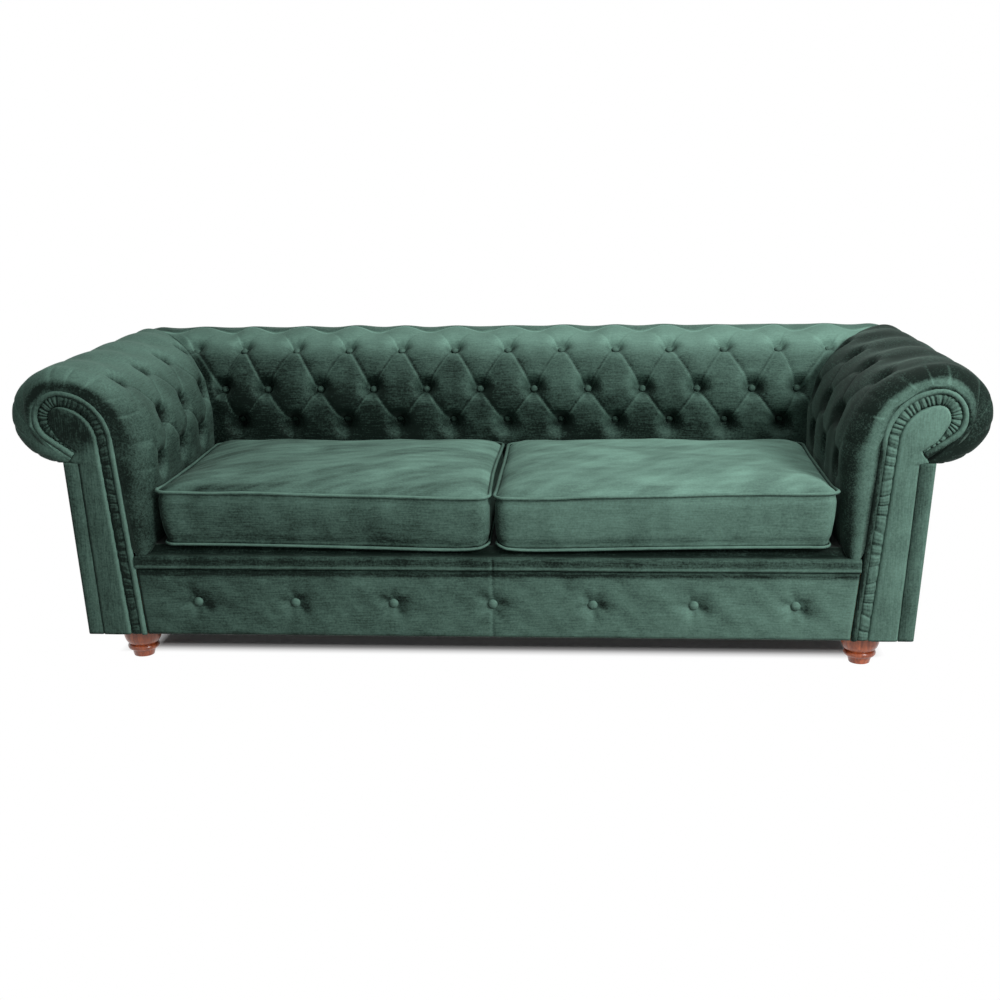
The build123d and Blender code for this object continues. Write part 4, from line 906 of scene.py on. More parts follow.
class SOFA_OT_buttons(bpy.types.Operator):
    """Set the covered buttons of the back, the arms and the front rail"""

    bl_idname = "sofa.buttons"
    bl_label = "Buttons"

    def execute(self, context):
        s = size()
        run, out, up, normal_out, normal_up = button_places(s, back_plan(s)[1]).T
        zero = np.zeros_like(run)
        set_buttons(
            "covered_back_buttons",
            np.stack([run, s.seat_back + out, up], axis=-1),
            np.stack([zero + 1, zero, zero], axis=-1),
            np.stack([zero, normal_out, normal_up], axis=-1),
            s.button_radius,
            s.button_rise,
            main_velvet(),
            "back_buttons",
            BUTTON_PILE_AND_PAINTED_LIGHT["back"],
        )
        run, out, up, normal_out, normal_up = button_places(s, arm_plan(s)[1]).T
        zero = np.zeros_like(run)
        for side, sign in SIDES:
            set_buttons(
                f"covered_arm_buttons_{side}",
                np.stack([sign * (s.seat_half + out), s.front + run, up], axis=-1),
                np.stack([zero, zero + 1, zero], axis=-1),
                np.stack([sign * normal_out, zero, normal_up], axis=-1),
                s.button_radius,
                s.button_rise,
                arm_velvet(),
                f"arm_buttons_{side}",
                BUTTON_PILE_AND_PAINTED_LIGHT["arm"],
            )
        low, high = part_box("front_buttons")
        x = (np.arange(7) - 3) * s.front_pitch
        zero = np.zeros_like(x)
        set_buttons(
            "covered_rail_buttons",
            np.stack([x, zero + high.y, zero + (low.z + high.z) / 2], axis=-1),
            np.stack([zero + 1, zero, zero], axis=-1),
            np.stack([zero, zero - 1, zero], axis=-1),
            (high.z - low.z) / 2 + 1.5 * MM,
            high.y - low.y + 3 * MM,
            main_velvet(),
            "front_buttons",
            BUTTON_PILE_AND_PAINTED_LIGHT["rail"],
        )
        return {"FINISHED"}


# Facings


class SOFA_OT_facings(bpy.types.Operator):
    """Make the scroll-shaped facings, their ruched bands and their piping"""

    bl_idname = "sofa.facings"
    bl_label = "Facings"

    def band_edge(self, s, ways):
        """Inset of the band's inner edge: full width up the leg and round the head, tapering to the neck."""
        return 2 * s.piping + 0.6 * MM + s.ruche * (1 - 0.85 * ease((ways - 1.65) / 0.9))

    def panel(self, s, inset, rear, face):
        """Facing panel: rows up its height, each spread between the scroll's edges and rounded at both."""
        turn_in, turn_under = scroll(s)[2:]
        shoulder_in, shoulder_z = shoulder_middle(s)
        reach, wide = s.head_radius - inset, s.shoulder_radius - inset
        top = s.head_z + reach
        up = s.base + (top - s.base) * (1 - (1 - np.linspace(0, 1, 150)) ** 1.35)
        touch = head_point(s, turn_in, inset)[1]
        crown_way = 1 + (turn_in - math.pi / 2) / (turn_in - turn_under)
        small = np.sqrt(np.clip(reach**2 - (up - s.head_z) ** 2, 0, None))
        large = np.sqrt(np.clip(wide**2 - (up - shoulder_z) ** 2, 0, None))
        crown_z = s.head_z + reach * math.sin(s.crown)
        left = np.where(up < touch, inner_line(s, up, inset), shoulder_in - large)
        left = np.where(up > crown_z, s.head_in - small, left)
        ways = np.linspace(3, crown_way, 400)
        edge_out, edge_up = scroll_point(s, ways, self.band_edge(s, ways), s.base)
        ledge = s.outside_z + 1 * MM
        outer = s.foot_outer + (s.neck_outer - s.foot_outer) * (up - s.base) / (s.neck_z - s.base)
        edge_up = np.concatenate([[ledge, ledge + 3 * MM, s.neck_z + 2 * MM], edge_up])
        edge_out = np.concatenate([[s.neck_in + 6 * MM, s.neck_in + 6 * MM, s.neck_in], edge_out])
        right = np.where(up < ledge, outer, np.interp(up, edge_up, edge_out))
        spread = (1 - np.cos(np.linspace(0, np.pi, 40))) / 2
        out = left[:, None] + (right - left)[:, None] * spread
        margin = np.minimum(out - left[:, None], right[:, None] - out)
        rim = np.clip(margin / 0.008, 0, 1)
        y = face + 0.008 * (1 - np.sqrt(1 - (1 - rim) ** 2)) + 0.002 * bell(margin, 0.02)
        place = np.stack([out, y, 0 * out + up[:, None]], axis=-1)
        y = y - 0.5 * MM * ripple(place, 0.06, 11)
        out = np.concatenate([left[:, None], out, right[:, None]], axis=1)
        y = np.concatenate([0 * left[:, None] + rear, y, 0 * left[:, None] + rear], axis=1)
        hem = bell(out - left[:, None], 5 * MM)
        return np.stack([s.seat_half + out, y, 0 * out + up[:, None]], axis=-1), hem

    def band(self, s, rear, face):
        """Ruched band: a puffed strip along the scroll, creased across where its cloth is gathered.

        The puff is a fourth power across the strip, lower on the panel's side. The creases are where a count
        of folds, which runs faster round the head, is whole; between them the cloth swells like a root of a
        sine.
        """
        ways, run = scroll_ways(s, 0.0016, s.base)
        share = np.linspace(0, 1, 13)[None, :]
        outer, inner = 2 * s.piping - 0.8 * MM, self.band_edge(s, ways[:, None]) + 1.5 * MM
        out, up = scroll_point(s, ways[:, None], outer + (inner - outer) * share, s.base)
        round_head = ease((ways[:, None] - 0.85) / 0.3)
        pitch = 0.029 - 0.015 * round_head
        folds = np.cumsum(np.full_like(ways, run[1] - run[0])[:, None] / pitch, axis=0)
        folds = folds + 0.22 * np.sin(1.7 * folds) + 0.30 * (share - 0.5) * np.sin(0.9 * folds)
        swell = np.abs(np.sin(np.pi * folds)) ** (0.40 + 0.3 * round_head)
        arch = (2 * share - 1) ** 4
        y = face + 0.5 * MM + 4.6 * MM * (1 - swell) + 5 * MM * arch + 4 * MM * share**5
        y = y + 0.4 * MM * np.sin(2 * np.pi * 3.1 * folds) * (1 - arch)
        back = np.full((len(ways), 1), rear)
        out = np.concatenate([out, out[:, -1:], out[:, :1]], axis=1)
        up = np.concatenate([up, up[:, -1:], up[:, :1]], axis=1)
        y = np.concatenate([y, back, back], axis=1)
        return np.stack([s.seat_half + out, y, up], axis=-1)

    def cord(self, s, middle):
        """Piping: a round carried along the scroll, with a slight uneven swell along its length."""
        ways, run = scroll_ways(s, 0.004, s.base)
        turn = np.linspace(0, 2 * np.pi, 17)[:-1][None, :]
        swell = 0.25 * MM * np.sin(run / 0.013) + 0.15 * MM * np.sin(run / 0.0051)
        radius = (s.piping + swell[:, None]) * (1 + 0 * turn)
        inset = s.piping + radius * np.cos(turn)
        out, up = scroll_point(s, ways[:, None], inset, s.base)
        return np.stack([s.seat_half + out, middle + radius * np.sin(turn), up], axis=-1)

    def execute(self, context):
        s = size()
        low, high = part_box("facing_panel_right")
        band_low, band_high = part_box("facing_ruche_right")
        cord_low, cord_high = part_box("facing_piping_right")
        panel, hem = self.panel(s, 2 * s.piping + s.ruche + 0.0006, high.y, low.y)
        band = self.band(s, band_high.y, band_low.y)
        cord = self.cord(s, (cord_low.y + cord_high.y) / 2)
        parts = (
            ("facing", "facing_panel", "velvet", panel, FACING_HEM_HIGHLIGHT * hem),
            ("ruched_band", "facing_ruche", "velvet", band, 0.0),
            ("facing_cord", "facing_piping", "velvet_trim", cord, 0.0),
        )
        for side, sign in SIDES:
            for name, node, slot, points, edge in parts:
                # Painted light and shade differ between the two copies, rising from leg to head, with a
                # painted highlight along the seat-side edge
                leg, head = FACING_PILE_AND_PAINTED_LIGHT[side][name]
                nap = edge + leg + (head - leg) * ease((points[..., 2] - s.neck_z) / 0.06)
                piece = make_piece(
                    f"{name}_{side}",
                    sided(points, sign),
                    tube_faces(points),
                    upright_velvet(),
                    f"{node}_{side}",
                    nap,
                    FACING_SLOPE_SHADING,
                )
        return {"FINISHED"}


# Front of the base


class SOFA_OT_front_rail(bpy.types.Operator):
    """Make the padded front rail with its button dimples, and the seat lip above it"""

    bl_idname = "sofa.front_rail"
    bl_label = "Front rail and lip"

    def execute(self, context):
        s = size()
        low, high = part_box("front_panel")
        x = np.linspace(-1, 1, 460)[:, None]
        turn = np.linspace(0, 1, 44)
        up = (low.z + (high.z - low.z) * turn)[None, :]
        half = s.seat_half + inner_line(s, up, -0.3 * MM) - 0.6 * MM
        x = x * half
        margin = np.minimum(np.minimum(up - low.z, high.z - up), half - np.abs(x))
        rim = np.clip(margin / 0.007, 0, 1)
        y = low.y + 0.007 * (1 - np.sqrt(1 - (1 - rim) ** 2))
        middle = (low.z + high.z) / 2
        nearest = np.clip(np.round(x / s.front_pitch), -3, 3) * s.front_pitch
        across, lift = x - nearest, up - middle
        distance = np.hypot(across, lift)
        y = y + 9.5 * MM * bell(np.hypot(across * 0.85, lift), 0.024) + 0 * x
        turned = np.arctan2(lift, across)
        pulls = np.cos(5 * turned + 1.3 * nearest / s.front_pitch) * bell(distance - 0.028, 0.016)
        slack = np.sin((0.7 * across + lift) / 0.011 + 2 * nearest) * bell(np.abs(across) - 0.075, 0.03)
        seam = 2.5 * MM * bell(x, 0.0035) * ease((distance - 0.012) / 0.01)
        y = y + 1.2 * MM * pulls + 0.7 * MM * slack * rim + seam
        place = np.stack([x, 0 * x, 0 * x + up], axis=-1)
        y = y + 0.8 * MM * ripple(place, 0.09, 21) * rim
        points = np.stack([x, y, 0 * x + up], axis=-1)
        back = points[:, [-1, 0]]
        back[..., 1] = high.y
        points = np.concatenate([points, back], axis=1)
        z = points[..., 2]
        # Painted lighter to the right, with a painted highlight along the bottom edge, painted shadow along
        # the top under the lip and painted shadow beside each button
        nap = total_pile_and_painted_light(
            RAIL_PILE_AND_PAINTED_LIGHT,
            across=points[..., 0],
            hem=bell(z - low.z, 3 * MM),
            top=ease((z - high.z + 0.020) / 0.016),
            beside=np.pad(bell(np.hypot(across - 0.024, lift + 0.005), 0.021), ((0, 0), (0, 2))),
        )
        faces = tube_faces(points)
        piece = make_piece("padded_front_rail", points, faces, main_velvet(), "front_panel", nap, RAIL_SLOPE_SHADING)
        self.lip()
        return {"FINISHED"}

    def lip(self):
        """Seat lip: a rounded bar along the front, finely gathered up and down, with a seam in the middle."""
        low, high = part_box("seat_lip")
        x = np.linspace(low.x, high.x, 820)[:, None]
        corner, under, brow = 0.009, 0.010, high.z - 0.018
        upper = np.linspace(0, np.pi / 2, 10)
        lower = np.linspace(0, np.pi / 2, 8)
        slope = np.linspace(0, 1, 12)[1:]
        y = np.concatenate(
            [
                low.y + under * (1 - np.sin(lower)),
                np.full(12, low.y),
                low.y + corner * (1 - np.cos(upper)),
                low.y + corner + (high.y - low.y - corner) * slope,
                [high.y],
            ]
        )
        z = np.concatenate(
            [
                low.z + under * (1 - np.cos(lower)),
                np.linspace(low.z + under, brow - corner, 14)[1:-1],
                brow - corner * (1 - np.sin(upper)),
                brow + (high.z - brow) * slope**4,
                [low.z],
            ]
        )
        facing = bell(y - low.y, 0.02)[None, :]
        gather = 0.12 * MM * np.sin(x / 0.0017 + 2 * np.sin(x / 0.021)) + 0.2 * MM * np.sin(x / 0.0047)
        seam = 3.0 * MM * bell(x, 0.0035)
        waves = 1.0 * MM * ripple(np.stack([x, 0 * x, 0 * x], -1), 0.16, 27)
        y = y[None, :] + facing * (gather + seam + waves)
        points = np.stack([0 * y + x, y, 0 * y + z[None, :]], axis=-1)
        # Painted lighter to the right and darker upwards, painted shadow on the top under the cushions, and a
        # painted highlight along the bottom edge
        nap = total_pile_and_painted_light(
            LIP_PILE_AND_PAINTED_LIGHT,
            across=points[..., 0],
            tall=np.clip((points[..., 2] - low.z) / (brow - low.z), 0, 1),
            shaded=ease((points[..., 1] - low.y - corner) / 0.012),
            hem=bell(points[..., 2] - low.z - 0.007, 0.004),
        )
        faces = tube_faces(points)
        piece = make_piece("gathered_seat_lip", points, faces, main_velvet(), "seat_lip", nap, LIP_SLOPE_SHADING)


# Outside covers, deck and underside


class SOFA_OT_outside_covers(bpy.types.Operator):
    """Make the plain outside arms and outside back"""

    bl_idname = "sofa.outside_covers"
    bl_label = "Outside covers"

    def execute(self, context):
        s = size()
        up = np.linspace(s.base, s.outside_z, 60)[:, None]
        share = (up - s.base) / (s.outside_z - s.base)
        outer = s.outside_foot + (s.outside_neck - s.outside_foot) * share
        facing = s.foot_outer + (s.neck_outer - s.foot_outer) * (up - s.base) / (s.neck_z - s.base)
        facing += 0.3 * MM
        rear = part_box("facing_panel_right")[1].y
        lead, skin, bend = s.front + 0.006, 0.004, 0.009
        crown = 4 * share * (1 - share)
        run = np.linspace(0, 1, 110)[None, :]
        back = s.seat_back + outer
        y_side = lead + bend + (back - lead - bend) * run
        belly = 2.2 * MM * crown * np.sqrt(np.clip(4 * run * (1 - run), 0, 1))
        place = np.stack([0 * y_side + outer, y_side, 0 * y_side + up], axis=-1)
        x_side = outer - 2.4 * MM + belly + 0.7 * MM * ripple(place, 0.13, 33) * crown * ease(run / 0.1)
        turn = np.linspace(np.pi / 2, 0, 8)[None, :]
        x_bend = outer - 2.4 * MM - bend + bend * np.cos(turn)
        y_bend = lead + bend - bend * np.sin(turn)
        ones = np.ones_like(up)
        x = np.concatenate([facing, facing, x_bend, x_side, outer - skin, outer - skin], axis=1)
        y = np.concatenate(
            [rear * ones, lead * ones, y_bend + 0 * outer, y_side, back - skin, rear * ones], axis=1
        )
        points = np.stack([s.seat_half + x, y, up + 0 * x], axis=-1)
        cloth = upright_velvet()
        for side, sign in SIDES:
            # Each outside cover gets its own painted tone by copy: the right arm's lighter than the left's
            name, node, nap = f"outside_arm_{side}", f"outside_arm_cover_{side}", OUTSIDE_PILE_AND_PAINTED_LIGHT[side]
            make_piece(name, sided(points, sign), tube_faces(points), cloth, node, nap, OUTSIDE_SLOPE_SHADING)
        wide = np.linspace(-1, 1, 240)[None, :]
        half = s.seat_half + outer
        x = half * wide
        belly = 2.2 * MM * crown * np.sqrt(np.clip(1 - wide**2, 0, 1))
        place = np.stack([x, 0 * x, 0 * x + up], axis=-1)
        y = s.seat_back + outer - 2.4 * MM + belly + 0.7 * MM * ripple(place, 0.15, 35) * crown
        inner_x = np.concatenate([half - skin, skin - half], axis=1)
        inner_y = np.concatenate([s.seat_back + outer - skin] * 2, axis=1)
        x = np.concatenate([x, inner_x], axis=1)
        y = np.concatenate([y, inner_y], axis=1)
        points = np.stack([x, y, up + 0 * x], axis=-1)
        node, nap = "outside_back_cover", OUTSIDE_PILE_AND_PAINTED_LIGHT["back"]
        make_piece("outside_back", points, tube_faces(points), cloth, node, nap, OUTSIDE_SLOPE_SHADING)
        return {"FINISHED"}


class SOFA_OT_deck(bpy.types.Operator):
    """Lay the deck cloth under the cushions and stretch the lining under the base"""

    bl_idname = "sofa.deck"
    bl_label = "Deck and lining"

    def execute(self, context):
        low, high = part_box("deck_cover")
        x, y = np.meshgrid(np.linspace(low.x, high.x, 150), np.linspace(low.y, high.y, 60), indexing="ij")
        place = np.stack([x, y, 0 * x], axis=-1)
        z = high.z - 0.0008 - 0.0007 * (1 + ripple(place, 0.12, 41)) * 0.5
        points = np.stack([x, y, z], axis=-1)
        # Plain-woven platform cloth: blackish green cotton, dull, its threads just showing
        dark, light = linear("#141a18"), linear("#27322e")
        cloth = matted("woven_platform_cloth", dark, light, 1.4 * MM, 0.9, 0.0, 0.3 * MM)
        faces = faces_of(points)
        deck = make_piece("deck_cloth", points, faces, cloth, "deck_cover", closed=False)
        low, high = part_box("dust_cover")
        x, y = np.meshgrid(np.linspace(low.x, high.x, 160), np.linspace(low.y, high.y, 70), indexing="ij")
        place = np.stack([x, y, 0 * x], axis=-1)
        inward = np.minimum(np.minimum(x - low.x, high.x - x), np.minimum(y - low.y, high.y - y))
        z = low.z + 0.0006 - 0.0016 * ease(inward / 0.12) * (1 + 0.4 * ripple(place, 0.2, 43))
        points = np.stack([x, y, z], axis=-1)[:, ::-1]
        faces, cloth = faces_of(points), spun_lining()
        lining = make_piece("base_lining", points, faces, cloth, "dust_cover", closed=False)
        return {"FINISHED"}


# Seat cushions


def cushion_plan(s, half_x, half_y):
    """Plan of a cushion: four round corners joined by sides that draw in like a parabola between them."""
    corner = s.cushion_corner
    turn = np.linspace(0, np.pi / 2, 15)
    span = np.linspace(0, 1, 46)[1:-1]
    draw = 4 * span * (1 - span)
    long_x, long_y = half_x - corner, half_y - corner
    side = np.stack([half_x - 3 * MM * draw, -long_y + 2 * long_y * span], axis=-1)
    top = np.stack([long_x - 2 * long_x * span, half_y - 4 * MM * draw], axis=-1)
    arc = np.stack([long_x + corner * np.cos(turn), long_y + corner * np.sin(turn)], axis=-1)
    other = np.stack([-long_x - corner * np.sin(turn), long_y + corner * np.cos(turn)], axis=-1)
    upper = np.concatenate([side, arc, top, other])
    return np.concatenate([upper, -upper])


# Voxel of the cushions' even mesh, steps of the cloth solver and farthest that a point may swell
VOXEL, SWELL_STEPS, SWELL_CAP = 0.0075, 20, 0.024
# Way the cushions' strokes lie: short across them, long along them
STROKE_WAY = np.array([[1, -1.6, 0], [0.5, 3.2, 0], [0, 0, 0.5]])


def mesh_points(mesh):
    """Points of a mesh, one row each."""
    flat = np.empty(len(mesh.vertices) * 3)
    mesh.vertices.foreach_get("co", flat)
    return flat.reshape(-1, 3)


def evened(piece):
    """Gives a piece an even mesh, remade in voxels."""
    remesh = piece.modifiers.new("even", "REMESH")
    remesh.mode = "VOXEL"
    remesh.voxel_size = VOXEL
    graph = bpy.context.evaluated_depsgraph_get()
    even = bpy.data.meshes.new_from_object(piece.evaluated_get(graph))
    piece.modifiers.remove(remesh)
    even.name = piece.name
    old = piece.data
    piece.data = even
    bpy.data.meshes.remove(old)
    return even


def swell(piece, held, force):
    """Swells a mesh with the cloth solver: held points stay, the rest move with the pressure up to a cap."""
    scene = bpy.context.scene
    start = mesh_points(piece.data)
    group = piece.vertex_groups.new(name="held")
    group.add(np.nonzero(held)[0].tolist(), 1.0, "REPLACE")
    cloth = piece.modifiers.new("filling", "CLOTH")
    rule = cloth.settings
    rule.quality = 6
    rule.mass = 0.35
    rule.tension_stiffness = 14
    rule.compression_stiffness = 14
    rule.shear_stiffness = 6
    rule.bending_stiffness = 2.5
    rule.vertex_group_mass = group.name
    rule.use_pressure = True
    rule.uniform_pressure_force = force
    rule.effector_weights.gravity = 0
    cloth.collision_settings.use_collision = False
    cloth.point_cache.frame_start = 1
    cloth.point_cache.frame_end = SWELL_STEPS
    for step in range(1, SWELL_STEPS + 1):
        scene.frame_set(step)
    graph = bpy.context.evaluated_depsgraph_get()
    shift = mesh_points(piece.evaluated_get(graph).data) - start
    scene.frame_set(1)
    piece.modifiers.remove(cloth)
    far = np.linalg.norm(shift, axis=1, keepdims=True)
    shift *= np.minimum(1, SWELL_CAP / np.maximum(far, 1e-9))
    piece.vertex_groups.remove(group)
    return start + shift


class SOFA_OT_cushions(bpy.types.Operator):
    """Fill the two seat cushions and sew their piping"""

    bl_idname = "sofa.cushions"
    bl_label = "Seat cushions"

    def shell(self, s, plan, half, middle, base):
        """Start of a cushion: its plan drawn in by level, from the middle of the underside to the crown."""
        levels = np.array(
            [
                (0.0, 1.0),
                (0.0, 0.5),
                (0.0, 0.2),
                (0.0, 0.08),
                (s.seam_low, 0.022),
                (s.seam_low + 0.02, 0.016),
                ((s.seam_low + s.seam_high) / 2, 0.012),
                (s.seam_high - 0.02, 0.016),
                (s.seam_high, 0.022),
                (s.seam_high + 0.008, 0.11),
                (s.seam_high + 0.013, 0.24),
                (s.seam_high + 0.015, 0.5),
                (s.seam_high + 0.016, 1.0),
            ]
        )
        scale = 1 - levels[:, 1]
        inset = np.where(levels[:, 1] < 0.05, levels[:, 1] * half.min(), 0)[:, None]
        scale = np.where(levels[:, 1] < 0.05, 1.0, scale)[:, None]
        x = plan[None, :, 0] * (scale - inset / half[0]) + middle[0]
        y = plan[None, :, 1] * (scale - inset / half[1]) + middle[1]
        z = np.broadcast_to(base + levels[:, :1], x.shape)
        return np.stack([x, y, z], axis=-1)

    def execute(self, context):
        s = size()
        for side, sign in SIDES:
            low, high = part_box(f"cushion_cover_{side}")
            half = np.array([high.x - low.x, high.y - low.y]) / 2
            middle = np.array([high.x + low.x, high.y + low.y]) / 2
            plan = cushion_plan(s, *half)
            points = self.shell(s, plan, half, middle, low.z)
            faces = grid_faces(len(points), len(plan), True).tolist()
            name, node, body = f"seat_cushion_{side}", f"cushion_cover_{side}", f"cushion_{side}"
            piece = make_piece(name, points, faces, main_velvet(), node, body=body)
            even = evened(piece)
            start = mesh_points(even)
            rise = start[:, 2] - low.z
            rim = np.min(half - np.abs(start[:, :2] - middle), axis=1)
            seam = (np.abs(rise - s.seam_high) < 0.005) & (rim < 0.02)
            held = seam | (rise < s.seam_low + 0.006)
            moved = swell(piece, held, s.pressure)
            moved, top, rim = self.filled(s, moved, half, middle, low.z, sign)
            inner = low.x if sign > 0 else high.x
            moved[:, 0] = np.maximum(moved[:, 0] * sign, inner * sign) * sign
            moved[:, 2] = np.minimum(moved[:, 2], high.z + 0.010)
            zip_low, zip_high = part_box(f"cushion_zip_{side}")
            reach = np.abs(moved - np.array((zip_low + zip_high) / 2)) - np.array((zip_high - zip_low) / 2)
            pocket = ease(2 - reach[:, 0] / 0.010) * ease(2 - reach[:, 2] / 0.008)
            behind = np.clip(moved[:, 1] - zip_low.y + 0.8 * MM, 0, None) * (moved[:, 1] > middle[1])
            moved[:, 1] -= behind * pocket
            even.vertices.foreach_set("co", moved.ravel())
            even.update()
            lay_pile_and_painted_light(even, self.painted_light_and_pile(moved, top, rim, half, middle, sign), CUSHION_SLOPE_SHADING)
            even.polygons.foreach_set("use_smooth", np.ones(len(even.polygons), bool))
            if not even.materials:
                even.materials.append(main_velvet())
            even.update()
            finer = piece.modifiers.new("finer", "SUBSURF")
            finer.levels = finer.render_levels = 1
            self.piping(s, side, half, middle, low.z)
        return {"FINISHED"}

    def filled(self, s, points, half, middle, base, sign):
        """Shapes a swollen cushion, and gives its points, which of them are on top and how far in they lie.

        The top's rise over the high seam is a power of the swollen one, uneven towards the middle and drawn
        down by a bell inside the seam. The border draws in beside both seams and waves along its length.
        """
        rise = points[:, 2] - base
        along = np.abs(points[:, :2] - middle) / half
        rim = np.min(half - np.abs(points[:, :2] - middle), axis=1)
        middling = np.clip((1 - along[:, 0] ** 4) * (1 - along[:, 1] ** 4), 0, 1) ** 0.5
        top = rise > s.seam_high
        peak = rise.max() - s.seam_high
        crown = np.clip((rise - s.seam_high) / peak, 0, 1) ** 0.7 * (s.cushion_thick - s.seam_high)
        points[:, 2] = np.where(top, base + s.seam_high + crown, points[:, 2])
        lift = ripple(points * np.array([1, 1, 0.3]), 0.17, 51 + sign) * 2.4 * MM
        lift += ripple(points, 0.06, 57 + sign) * 0.7 * MM
        groove = 3 * MM * bell(rim - 0.013, 0.006)
        points[:, 2] += np.where(top, lift * middling - groove, 0)
        border = (rise > s.seam_low) & (rise < s.seam_high)
        inward = bell(rise - s.seam_high + 0.011, 0.006) + bell(rise - s.seam_low - 0.011, 0.006)
        inward *= 3 * MM
        toward = np.sign(middle - points[:, :2])
        outer_x = border & (along[:, 0] > along[:, 1] * 0.98)
        outer_y = border & (half[1] - np.abs(points[:, 1] - middle[1]) < 0.05)
        points[:, 0] += np.where(outer_x, inward * toward[:, 0], 0)
        points[:, 1] += np.where(outer_y, inward * toward[:, 1], 0)
        points[:, 1] += np.where(border, ripple(points, 0.10, 61 + sign) * 1.2 * MM, 0)
        return self.settle(s, points, half, middle, base), top, rim

    def painted_light_and_pile(self, points, top, rim, half, middle, sign):
        """Tone of a cushion: broad and fine brush strokes in the pile, painted shade on the top just inside
        the seam, and painted light on the right cushion, towards the right and on the rear border.
        """
        strokes = points @ STROKE_WAY
        brushed = 0.11 * np.tanh(2.2 * ripple(strokes, 0.24, 81 + sign))
        brushed += 0.08 * ripple(strokes, 0.08, 85 + sign)
        brushed *= np.where(top, 1.0, 0.3)
        # Painted light and shade: the right cushion painted lighter and each top lighter towards the right,
        # the top painted darker just inside the seam, the rear border painted lighter
        sideways = (points[:, 0] - middle[0]) / half[0]
        edge = 0.10 * bell(rim - 0.03, 0.022)
        level = np.where(top, 0.18 - edge + 0.13 * sign, 0.17 + 0.08 * sign)
        level += np.where(top, 0.09 - 0.06 * sign, 0.02) * sideways
        rear = 0.28 * ease((points[:, 1] - middle[1]) / half[1] * 12 - 11) * ~top
        return level + brushed + rear

    def settle(self, s, points, half, middle, base):
        """Draws a cushion's low edges in, sinks its front where the two meet and pushes its corners out.

        Each shift is a product of smooth steps of the place along and across the cushion and of the share
        below the high seam.
        """
        low_share = np.clip(1 - (points[..., 2] - base) / s.seam_high, 0, 1)
        along = (points[..., :2] - middle) / half
        wide = np.clip(np.abs(along[..., 0]), 0, 1)
        outer = np.where(along[..., 0] * middle[0] > 0, 1.0, 0.25)
        shift = np.zeros_like(points)
        ears = s.ears * ease((-along[..., 1] - 0.72) / 0.28) * (1 - low_share)
        shift[..., 0] = along[..., 0] * wide**6 * outer * (ears - s.draw_in * low_share)
        shift[..., 1] = -0.4 * s.draw_in * low_share * along[..., 1]
        sunk = s.middle_sag * ease(0.5 - 0.5 * along[..., 0] * math.copysign(1, middle[0]))
        hang = ease((-along[..., 1] - 0.886) / 0.114) * (1 - wide**10)
        above = sunk * ease((-along[..., 1] - 0.2) / 0.8)
        shift[..., 2] = -above * (1 - low_share) - sunk * low_share * hang
        return points + shift

    def piping(self, s, side, half, middle, base):
        """Piping of a cushion: a round carried along the plan at each seam, with a slight uneven swell."""
        radius = s.cushion_piping
        plan = cushion_plan(s, *(half - radius))
        ahead = np.roll(plan, -1, axis=0) - np.roll(plan, 1, axis=0)
        ahead /= np.linalg.norm(ahead, axis=1)[:, None]
        outward = np.stack([ahead[:, 1], -ahead[:, 0]], axis=-1)
        turn = np.linspace(0, 2 * np.pi, 13)[:-1][None, :, None]
        rings = []
        for rise, thick in ((s.seam_low, 0.7), (s.seam_high, 0.8)):
            flat = plan[:, None, :] + outward[:, None, :] * radius * thick * np.cos(turn)
            up = base + rise + radius * thick * np.sin(turn[..., 0]) + 0 * flat[..., 0]
            waves = ripple(np.stack([*plan.T, 0 * plan[:, 0]], -1), 0.14, 71)[:, None]
            up = up + 0.8 * MM * waves * (rise > 0.05)
            rings.append(np.concatenate([flat + middle, up[..., None]], axis=-1))
        rings = [self.settle(s, ring, half, middle, base) for ring in rings]
        low_y = middle[1] - half[1]
        count, around = rings[0].shape[:2]
        loop = grid_faces(count + 1, around, True) % (count * around)
        faces = np.concatenate([loop, loop + count * around]).tolist()
        # The cords are painted light along the front and darker, as painted shade, along the sides and back
        make_piece(
            f"cushion_cord_{side}",
            np.concatenate(rings),
            faces,
            main_velvet(),
            f"cushion_piping_{side}",
            np.concatenate([0.26 - 0.3 * ease((ring[..., 1] - low_y) / 0.08) for ring in rings]),
            CORD_SLOPE_SHADING,
            f"cushion_{side}",
        )


